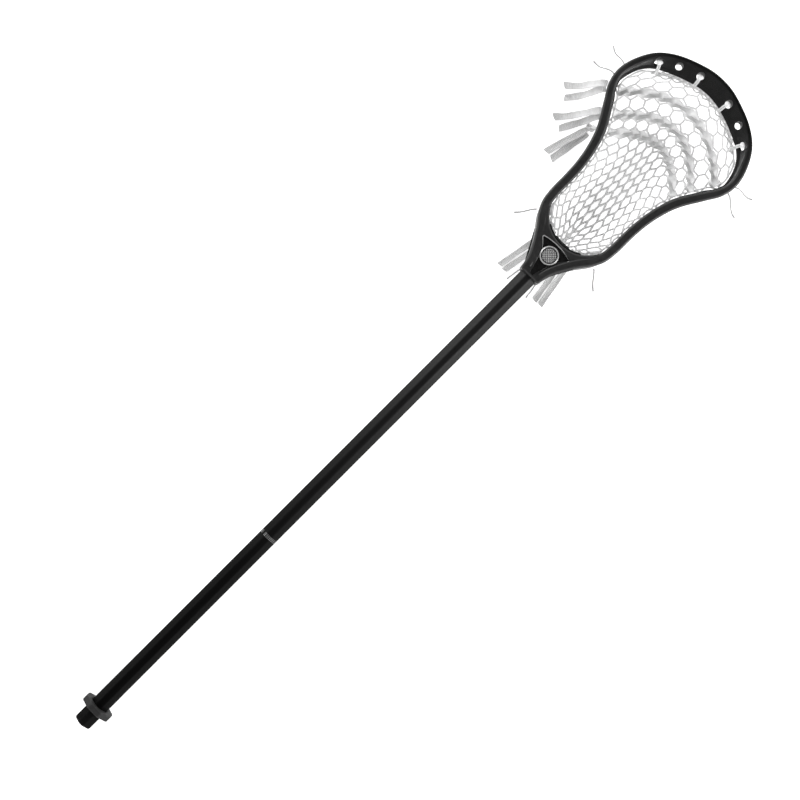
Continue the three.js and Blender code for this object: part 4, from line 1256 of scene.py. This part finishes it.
class Net:
    """A knitted net: each hole is a ring of corners, and holes share their sides' strands."""

    def __init__(self, thickness):
        self.thickness = thickness
        self.places = []  # (row, column) of each point on a strand's middle line
        self.known = {}
        self.sides = {}
        self.rings = []

    def corner(self, row, column):
        key = (round(row, 4), round(column, 4))
        if key not in self.known:
            self.known[key] = len(self.places)
            self.places.append(key)
        return self.known[key]

    def side(self, a, b):
        """The points from corner a to corner b, without b."""
        start, end = (a, b) if a < b else (b, a)
        if (start, end) not in self.sides:
            (r0, c0), (r1, c1) = self.places[start], self.places[end]
            pieces = 4 if c0 != c1 and r0 != r1 else 2
            inner = []
            for i in range(1, pieces):
                t = i / pieces
                inner.append(self.corner(r0 + (r1 - r0) * t, c0 + (c1 - c0) * t))
            self.sides[start, end] = [start, *inner, end]
        points = self.sides[start, end]
        return points[:-1] if a < b else points[:0:-1]

    def hole(self, corners):
        ids = [self.corner(*corner) for corner in corners]
        ring = []
        for a, b in zip(ids, ids[1:] + ids[:1]):
            ring += self.side(a, b)
        self.rings.append(ring)

    def outer_ring(self):
        """The net's border: the sides that only one hole uses, followed the other way round."""
        used = {(a, b) for ring in self.rings for a, b in zip(ring, ring[1:] + ring[:1])}
        follow = {b: a for a, b in used if (b, a) not in used}
        first = next(iter(follow))
        ring = [first]
        while follow[ring[-1]] != first:
            ring.append(follow[ring[-1]])
        return ring

    def build(self, name, material):
        rows, columns = np.array(self.places).T
        u, v = net_place(rows, columns)
        middle = pocket_point(u, v)
        normal = pocket_normal(u, v)
        half = self.thickness / 2
        vertices = [*(middle + normal * half), *(middle - normal * half)]
        under = len(middle)
        faces, uvs = [], []
        for ring, outer in [(ring, False) for ring in self.rings] + [(self.outer_ring(), True)]:
            places = middle[ring]
            before = unit(places - np.roll(places, 1, axis=0))
            after = unit(np.roll(places, -1, axis=0) - places)
            inward = np.cross(normal[ring], unit(before + after))
            turn = np.clip(np.einsum("ij,ij->i", before, after), -0.2, 1)
            reach = STRAND_HALF_WIDTH / np.sqrt((1 + turn) / 2)
            if not outer:
                to_centre = places.mean(axis=0) - places
                reach = np.minimum(reach, 0.62 * np.linalg.norm(to_centre, axis=1))
            border = len(vertices)
            vertices += list(places + inward * reach[:, None])
            lengths = distances(np.vstack([places, places[:1]]))
            for i, (a, b) in enumerate(zip(ring, ring[1:] + ring[:1])):
                j = (i + 1) % len(ring)
                near, far = lengths[i], lengths[i + 1]
                faces.append((a, b, border + j, border + i))
                uvs += [(near, 0), (far, 0), (far, 1), (near, 1)]
                faces.append((under + a, border + i, border + j, under + b))
                uvs += [(near, 0), (near, 1), (far, 1), (far, 0)]
        piece = new_object(name, vertices, faces, [material])
        layer = piece.data.uv_layers.new(name="UV")
        layer.data.foreach_set("uv", np.ravel(uvs))
        return piece


def tip_share(boundary):
    """How far a hole's blunt sides reach, as a share of a row, at the boundary below a row."""
    return float(np.interp(boundary, [0, 3, 6, 8, 14], [0.3, 0.3, 0.26, 0.17, 0.14]))


def net():
    made = Net(NET_THICKNESS)
    for row in range(LAST_ROW + 1):
        above, below = tip_share(row - 0.5), tip_share(row + 0.5)
        top = [(row - above, 0.5), (row - 1 + above, 0), (row - above, -0.5)]
        if row == 0:
            top = [(-0.35, 0.5), (-0.35, 0), (-0.35, -0.5)]
        foot = [(row + below, -0.5), (row + 1 - below, 0), (row + below, 0.5)]
        if row == LAST_ROW:
            foot = [(row + 0.5, -0.5), (row + 0.5, 0), (row + 0.5, 0.5)]
        set_over = 0.5 * (row % 2)
        for column in np.arange(set_over - HALF_COLUMNS, HALF_COLUMNS + 0.5 - set_over):
            places = [(r, column + c) for r, c in top + foot]
            made.hole([place for place in places if abs(place[1]) <= HALF_COLUMNS])
    piece = made.build("pocket_net", MESH_KNIT)
    face_outwards(piece)
    subdivide(piece, 2)
    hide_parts("mesh_pocket")


net()


# ---- Shooting laces ----
PLY_WIDTH = 8.6
PLY_THICKNESS = 1.5
PLY_TILT = 0.9
PLY_ACROSS = 2.2  # how far each ply swings to both sides of the lace's middle
PLY_LIFT = 1.7
LACE_LIFT = 1.6
LACE_STEPS = 281


def lace_section(width, thickness, steps=7):
    """A soft flat lace: fuller in its middle, with rounded edges."""
    across = np.linspace(-1, 1, steps)
    body = 0.5 * thickness * (0.35 + 0.65 * np.sqrt(1 - across**2))
    top = np.column_stack([across * width / 2, body])
    return np.vstack([top * (1, -1), top[::-1]])


def shooting_lace(number, row):
    """Two flat plies of lace, through a row's holes, that cross over each other at each column."""
    columns = np.linspace(-HALF_COLUMNS, HALF_COLUMNS, LACE_STEPS)
    middle = net_point(row, columns, LACE_LIFT)
    side, upward = frames_along(middle)
    plies = []
    for ply in range(2):
        turn = math.pi * (columns + ply + 0.15 * np.sin(2.3 * columns + row))
        swell = 1 + 0.1 * np.sin(3.1 * columns + 2 * ply + row)
        across = side * PLY_ACROSS * np.cos(turn)[:, None]
        lift = upward * PLY_LIFT * np.sin(turn)[:, None]
        plies.append(sweep(
            f"ply_{ply}", middle + across + lift, lace_section(PLY_WIDTH, PLY_THICKNESS),
            SHOOTING_LACE, body=None, roll=PLY_TILT * np.cos(turn + PLY_LEAD), widths=swell,
            along=turn / math.pi / 2 * TURN_LENGTH,
        ))
    piece = joined(f"shooting_lace_{number}_plies", plies)
    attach(piece, "stick")
    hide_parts(f"shooting_lace_{number}")


for lace_number, laced_row in enumerate(LACED_ROWS, start=1):
    shooting_lace(lace_number, laced_row)


# ---- Strings of the pocket ----
STRING_RADIUS = 1.05
SIDE_STRING_INSET = 10.6
SIDE_STRING_DIP = 6.8  # its inset in the rail's holes
SIDE_STRING_START_X = 72
SIDE_STRING_END_X = 250
SIDE_STRING_STEPS = 420
EDGE_STRING_STEPS = 361


def beside_rail(x, inset, lift, side):
    here = side_station(x, inset, side)
    return here.point(here.lean + inset, BOTTOM_EDGE(x) + STRING_HOLE_HEIGHT + lift)


def side_string(name, side):
    """Runs along the inside of the rail and dips into its holes. It catches the net between."""
    route = [beside_rail(SIDE_STRING_START_X, SIDE_STRING_INSET, 0, side)]
    for x, after in zip(STRING_HOLES_X, [*STRING_HOLES_X[1:], SIDE_STRING_END_X - 4]):
        route += [
            beside_rail(x - 2, SIDE_STRING_INSET - 1.2, 0.2, side),
            beside_rail(x, SIDE_STRING_DIP, 0, side),
            beside_rail(x + 2, SIDE_STRING_INSET - 1.2, -0.2, side),
            beside_rail((x + after) / 2, SIDE_STRING_INSET + 1.3, 0.5, side),
        ]
    route.append(beside_rail(SIDE_STRING_END_X, SIDE_STRING_INSET, 0.5, side))
    path = smooth_curve(route, SIDE_STRING_STEPS)
    piece = twisted_cord(name + "_cord", path, STRING_RADIUS, STRING_PITCH)
    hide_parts(name)


def edge_string(name, u, shift, loop_reach, reach, wraps):
    """Three strands along an end of the net: straight, looped and wound round its edge."""
    v = np.linspace(-reach, reach, EDGE_STRING_STEPS)
    edge = pocket_point(float(u), v)
    side, upward = frames_along(edge)
    turn = 2 * math.pi * wraps * v[:, None]
    wound = edge + side * np.cos(turn) * 2.3 + upward * np.sin(turn) * 2.1
    straight = edge + shift + upward * 0.5 * np.sin(turn * 0.7)
    looped = edge - side * (loop_reach + 1.2 * np.sin(turn * 0.55)) + upward * 0.9
    strands = [
        twisted_cord("looped", looped, STRING_RADIUS, STRING_PITCH, body=None),
        twisted_cord("straight", straight, STRING_RADIUS, STRING_PITCH, body=None),
        twisted_cord("wound", wound, STRING_RADIUS * 0.9, STRING_PITCH * 0.9, body=None),
    ]
    piece = joined(name + "_strands", strands)
    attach(piece, "stick")
    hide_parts(name)


KNOT_HEAD_RADIUS = 3.9
KNOT_STEM_LENGTH = 22
KNOT_HEAD_SIDES = 36


def top_knot(number, y):
    """A knot's round head on the scoop's face, pulled down to the net by two strands."""
    here = scoop_station(y)
    top = here.point(*scoop_point(here, 0, 1))
    centre = here.point(*scoop_point(here, KNOT_ALONG, 1))
    down = unit(centre - top)
    around = here.along
    out = np.cross(down, around)
    if out[:2] @ here.inward < 0:
        around, out = -around, -out
    axis = centre + out * (KNOT_HEAD_RADIUS + GAP)
    tip = axis + down * KNOT_STEM_LENGTH - out * 1.6
    pull = unit(np.array([*here.inward, -0.75]))
    square = np.cross(pull, around)
    angles = np.arange(KNOT_HEAD_SIDES) * 2 * math.pi / KNOT_HEAD_SIDES
    circle = round_section(1, KNOT_HEAD_SIDES) @ [around, square]
    rings = []
    for radius, along in (
        (1.5, 2.3), (2.7, 2.1), (3.6, 1.5), (3.9, 0.5), (3.75, -0.5), (3.1, -1.4), (2.1, -1.9),
        (0.8, -2.1),
    ):
        lobes = radius * (1 + 0.05 * np.cos(3 * angles + 1.2 * along))
        rings.append(axis + pull * along + circle * lobes[:, None])
    head = new_object("head", *bridge(rings), [STRING], body=None)
    lay_uv(head, KNOT_HEAD_SIDES, lambda ring, corner: (
        ring * 1.2 + corner * 0.35, math.sin(angles[corner] * 3)
    ))
    strands = [head]
    low = axis + pull * 5
    for sign in (1, -1):
        aside = around * sign * 1.1
        route = np.array([axis + pull, low, (low + tip) / 2, tip]) + aside
        path = smooth_curve(route, 30)
        strands.append(twisted_cord("strand", path, STRING_RADIUS, STRING_PITCH, body=None))
    piece = joined(f"top_knot_{number}_tied", strands)
    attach(piece, "stick")
    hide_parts(f"top_knot_{number}")


side_string("side_string_left", 1)
side_string("side_string_right", -1)
edge_string("top_string", 1, (-2.8, 0, 0.6), 5.2, 0.86, 11)
edge_string("bottom_string", 0, (-0.5, 0, -3.7), 2.6, 0.8, 5)
for knot_number, knot_y in enumerate(TOP_KNOTS_Y, start=1):
    top_knot(knot_number, knot_y)


# ---- Ball stop ----
PAD_THICK, PAD_THIN = 3.2, 1.5  # in its middle and beside it
PAD_HALF_ANGLE = 0.62
PAD_THICK_HALF_ANGLE = 0.3
PAD_SLOPE_ANGLE = 0.09  # from thick to thin
PAD_END_ANGLE = 0.05  # of each end's rounding
PAD_LOW_Z = -4
PAD_HIGH_Z = 17.5


def ball_stop_pad():
    """A foam strip round the ball stop, thicker in its middle."""
    outer = BALL_STOP_RADIUS - GAP
    rings = []
    for angle in np.linspace(-PAD_HALF_ANGLE, PAD_HALF_ANGLE, 73):
        bump = smoothstep((PAD_THICK_HALF_ANGLE - abs(angle)) / PAD_SLOPE_ANGLE)
        end = smoothstep((PAD_HALF_ANGLE - abs(angle)) / PAD_END_ANGLE)
        thickness = PAD_THIN + (PAD_THICK - PAD_THIN) * bump
        inner = outer - thickness * (0.45 + 0.55 * end)
        section = rounded([
            (outer, PAD_LOW_Z), (inner, PAD_LOW_Z), (inner, PAD_HIGH_Z), (outer, PAD_HIGH_Z),
        ], 1.3, 5)
        rings.append([
            (BALL_STOP_CENTRE_X - math.cos(angle) * r, -math.sin(angle) * r, z)
            for r, z in section
        ])
    piece = new_object("ball_stop_foam", *bridge(rings), [FOAM])
    face_outwards(piece)
    crisp(piece, 50)
    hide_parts("ball_stop_pad")


ball_stop_pad()


# ---- Round pieces ----
def turned(name, profile, material, place, steps, looped=False):
    """A piece turned round the Z axis from (radius, height) points."""
    rings = [at_height(round_section(radius, steps), height) + place for radius, height in profile]
    piece = new_object(name, *bridge(rings, looped=looped), [material])
    face_outwards(piece)
    return piece


BADGE_RIM = 1.7
BADGE_HEIGHT = 2.6
KNURL_PITCH = 2.9
KNURL_FOOT = BADGE_HEIGHT - 1.5
KNURL_HEIGHT = 0.7
KNURL_LIGHT_Z = KNURL_FOOT + 0.38  # from this height up the pyramids are light
BADGE_FACE_SIDES = 128
BADGE_FACE_RINGS = 44


def badge():
    """A plain round medallion: a polished rim round a face of small pyramids."""
    outer, inner = BADGE_RADIUS, BADGE_RADIUS - BADGE_RIM
    place = (BADGE_X, 0, RECESS_FLOOR_Z + GAP)
    rim = turned("badge_rim", [
        (outer, 0), (outer, 1.7), (outer - 0.15, 2.2), (outer - 0.5, 2.5), (outer - 0.85, 2.6),
        (inner + 0.5, 2.5), (inner + 0.15, 2.2), (inner, 1.7), (inner, 0),
    ], SILVER, place, steps=96, looped=True)
    crisp(rim, 40)
    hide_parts("badge_ring")
    face_radius = inner - GAP
    rings = [at_height(round_section(face_radius, BADGE_FACE_SIDES), 0)]
    for share in np.linspace(1, 0.02, BADGE_FACE_RINGS):
        circle = round_section(face_radius * share, BADGE_FACE_SIDES)
        slopes = [np.abs(circle @ slant / KNURL_PITCH % 1 - 0.5) for slant in ((1, 1), (1, -1))]
        height = KNURL_HEIGHT * (1 - sum(slopes)) * smoothstep((1 - share) / 0.12)
        rings.append(np.column_stack([circle, KNURL_FOOT + height]))
    vertices, faces = bridge(rings)
    face = new_object("badge_knurl", vertices + place, faces, [BADGE_DARK, BADGE_GREY])
    for polygon in face.data.polygons:
        height = np.mean([vertices[i][2] for i in polygon.vertices])
        polygon.material_index = int(height > KNURL_LIGHT_Z)
    face_outwards(face)
    crisp(face, 30)
    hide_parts("badge_face")


SCREW_CROSS = (2, 0.38)  # half of the length and the width of each arm of its recess


def head_screw():
    """A pan-head screw with a cross recess, in the back of the throat."""
    head_top = THROAT_BOTTOM_Z + SCREW_SEAT_DEPTH - GAP
    piece = turned("head_screw_machined", [
        (0.6, 9), (1.6, 8.7), (SCREW_RADIUS, 8.2), (SCREW_RADIUS, 0), (SCREW_HEAD_RADIUS, 0),
        (SCREW_HEAD_RADIUS, -0.9), (3.3, -1.5), (2.5, -1.9), (0.9, -2),
    ], STEEL, (SCREW_X, 0, head_top), steps=40)
    cross = []
    for x, y in (SCREW_CROSS, SCREW_CROSS[::-1]):
        arm = np.array([(-x, -y), (x, -y), (x, y), (-x, y)])
        rings = [
            at_height(arm * size + (SCREW_X, 0), head_top + z)
            for z, size in ((-2.4, 1), (-1.9, 1), (-0.7, 0.6))
        ]
        cross.append(new_object("cross", *bridge(rings), [STEEL], body=None))
        face_outwards(cross[-1])
    combine(piece, cross)
    crisp(piece)
    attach(piece, "stick")
    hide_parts("head_screw")


badge()
head_screw()


# ---- Shaft and end cap ----
SHAFT_FRONT_X = 49
SHAFT_BACK_X = -713
SHAFT_MIDDLE_X = -300
SHAFT_WALL = 1.4
FLANGE_FRONT_X = -707.6
FLANGE_BACK_X = -715.6
FLANGE_APOTHEM = 19.25
PLUG_LENGTH = 32
# How far the flange's outline is set in at each distance behind its front.
FLANGE_EDGES = [
    (0, 1.5), (0.25, 0.75), (0.8, 0.2), (1.6, 0), (6.4, 0), (7.2, 0.2), (7.75, 0.75), (8, 1.5),
]


def shaft():
    inside = -SHAFT_WALL
    front, back = SHAFT_FRONT_X, SHAFT_BACK_X
    rings = [along_x(shaft_outline(grow, 1.7 if grow > -1 else 0.9), x) for x, grow in (
        (front - 0.3, 0), (SHAFT_MIDDLE_X, 0), (back + 0.3, 0), (back, -0.3),
        (back, inside + 0.3), (back + 0.3, inside), (SHAFT_MIDDLE_X, inside),
        (front - 0.3, inside), (front, inside + 0.3), (front, -0.3),
    )]
    piece = new_object("shaft_tube", *bridge(rings, looped=True), [SHAFT_PAINT])
    face_outwards(piece)
    hole = round_tool("hole", (SCREW_X, 0), SCREW_RADIUS + GAP, -20, -6, 0)
    combine(piece, [hole])
    crisp(piece)
    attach(piece, "stick")
    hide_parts("shaft")


def flange_outline(apothem):
    corner = apothem / math.cos(math.pi / 8)
    angles = math.pi / 8 + np.arange(8) * math.pi / 4
    return rounded(np.column_stack([np.cos(angles), np.sin(angles)]) * corner, 2.2, 5)


def end_cap():
    """A rubber cap: a plug in the shaft, an octagonal flange round its end and a stub behind."""
    plug = -SHAFT_WALL - 0.4
    plug_front, shaft_end = SHAFT_BACK_X + PLUG_LENGTH, SHAFT_BACK_X - GAP
    rings = [along_x(shaft_outline(grow), x) for x, grow in (
        (plug_front, plug - 1.2), (plug_front - 1.2, plug), (shaft_end, plug), (shaft_end, GAP),
        (FLANGE_FRONT_X - 0.7, GAP), (FLANGE_FRONT_X, GAP + 0.6),
    )]
    for depth, inset in FLANGE_EDGES:
        rings.append(along_x(flange_outline(FLANGE_APOTHEM - inset), FLANGE_FRONT_X - depth))
    rubber_bands = len(rings)
    rings += [along_x(shaft_outline(grow), x) for x, grow in (
        (FLANGE_BACK_X, 1.2), (FLANGE_BACK_X - 0.6, 0.1), (FLANGE_BACK_X - 1.4, -0.15),
        (BUTT_X + 2.6, -0.15), (BUTT_X + 1.2, -0.45), (BUTT_X + 0.35, -1.3), (BUTT_X, -2.6),
    )]
    piece = new_object("end_cap_rubber", *bridge(rings), [RUBBER, STUB_RUBBER], body="cap")
    count = len(rings[0])
    for polygon in piece.data.polygons:
        polygon.material_index = 1 if polygon.index // count >= rubber_bands else 0
    face_outwards(piece)
    crisp(piece, 38)
    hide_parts("end_cap")


shaft()
end_cap()


# ---- Floor, light and finish ----
FLOOR_HALF_SIZE = 6000
FLOOR_GLOW = 0.55
LIGHT_TARGET = Vector((0.25, 0, 0))
LIGHT_SIZE = (0.9, 0.5)
# Bright at middle heights only: dim at the horizon, which upright faces show, and overhead.
SKY = [(0.0, 0.1), (0.2, 0.2), (0.38, 1.0), (0.66, 1.0), (0.84, 0.06), (1.0, 0.02)]
SKY_STRENGTH = 2.0


def stage_floor():
    made = Finish("floor_white", 0.9, specular=0.1)
    made.shader.inputs["Emission Color"].default_value = (1, 1, 1, 1)
    made.shader.inputs["Emission Strength"].default_value = FLOOR_GLOW
    material = made.finish(made.ramp(made.noise(3, 2), [(0.3, 0.9), (0.7, 0.92)]))
    signs = [(-1, -1), (1, -1), (1, 1), (-1, 1)]
    corners = [(a * FLOOR_HALF_SIZE, b * FLOOR_HALF_SIZE, 0) for a, b in signs]
    floor = new_object("floor", corners, [(0, 1, 2, 3)], [material], body=None, matrix=MODEL)


def area_light(name, place, power):
    data = bpy.data.lights.new(name, "AREA")
    data.shape = "RECTANGLE"
    data.size, data.size_y = LIGHT_SIZE
    data.energy = power
    light = bpy.data.objects.new(name, data)
    bpy.context.scene.collection.objects.link(light)
    light.location = place
    light.rotation_euler = (LIGHT_TARGET - light.location).to_track_quat("-Z", "Y").to_euler()


def lighting():
    world = bpy.data.worlds.new("studio")
    bpy.context.scene.world = world
    world.use_nodes = True
    tree = world.node_tree
    background = tree.nodes["Background"]
    coordinates = tree.nodes.new("ShaderNodeTexCoord")
    split = tree.nodes.new("ShaderNodeSeparateXYZ")
    sky = tree.nodes.new("ShaderNodeValToRGB")
    set_stops(sky, SKY)
    tree.links.new(coordinates.outputs["Generated"], split.inputs[0])
    tree.links.new(split.outputs["Z"], sky.inputs["Fac"])
    tree.links.new(sky.outputs["Color"], background.inputs["Color"])
    background.inputs["Strength"].default_value = SKY_STRENGTH
    area_light("key", (0.55, -1.6, 0.4), 19)
    area_light("fill", (0.5, 1.7, 0.4), 13)
    bpy.context.scene.view_settings.view_transform = "Standard"
    bpy.context.scene.view_settings.look = "None"


stage_floor()
lighting()
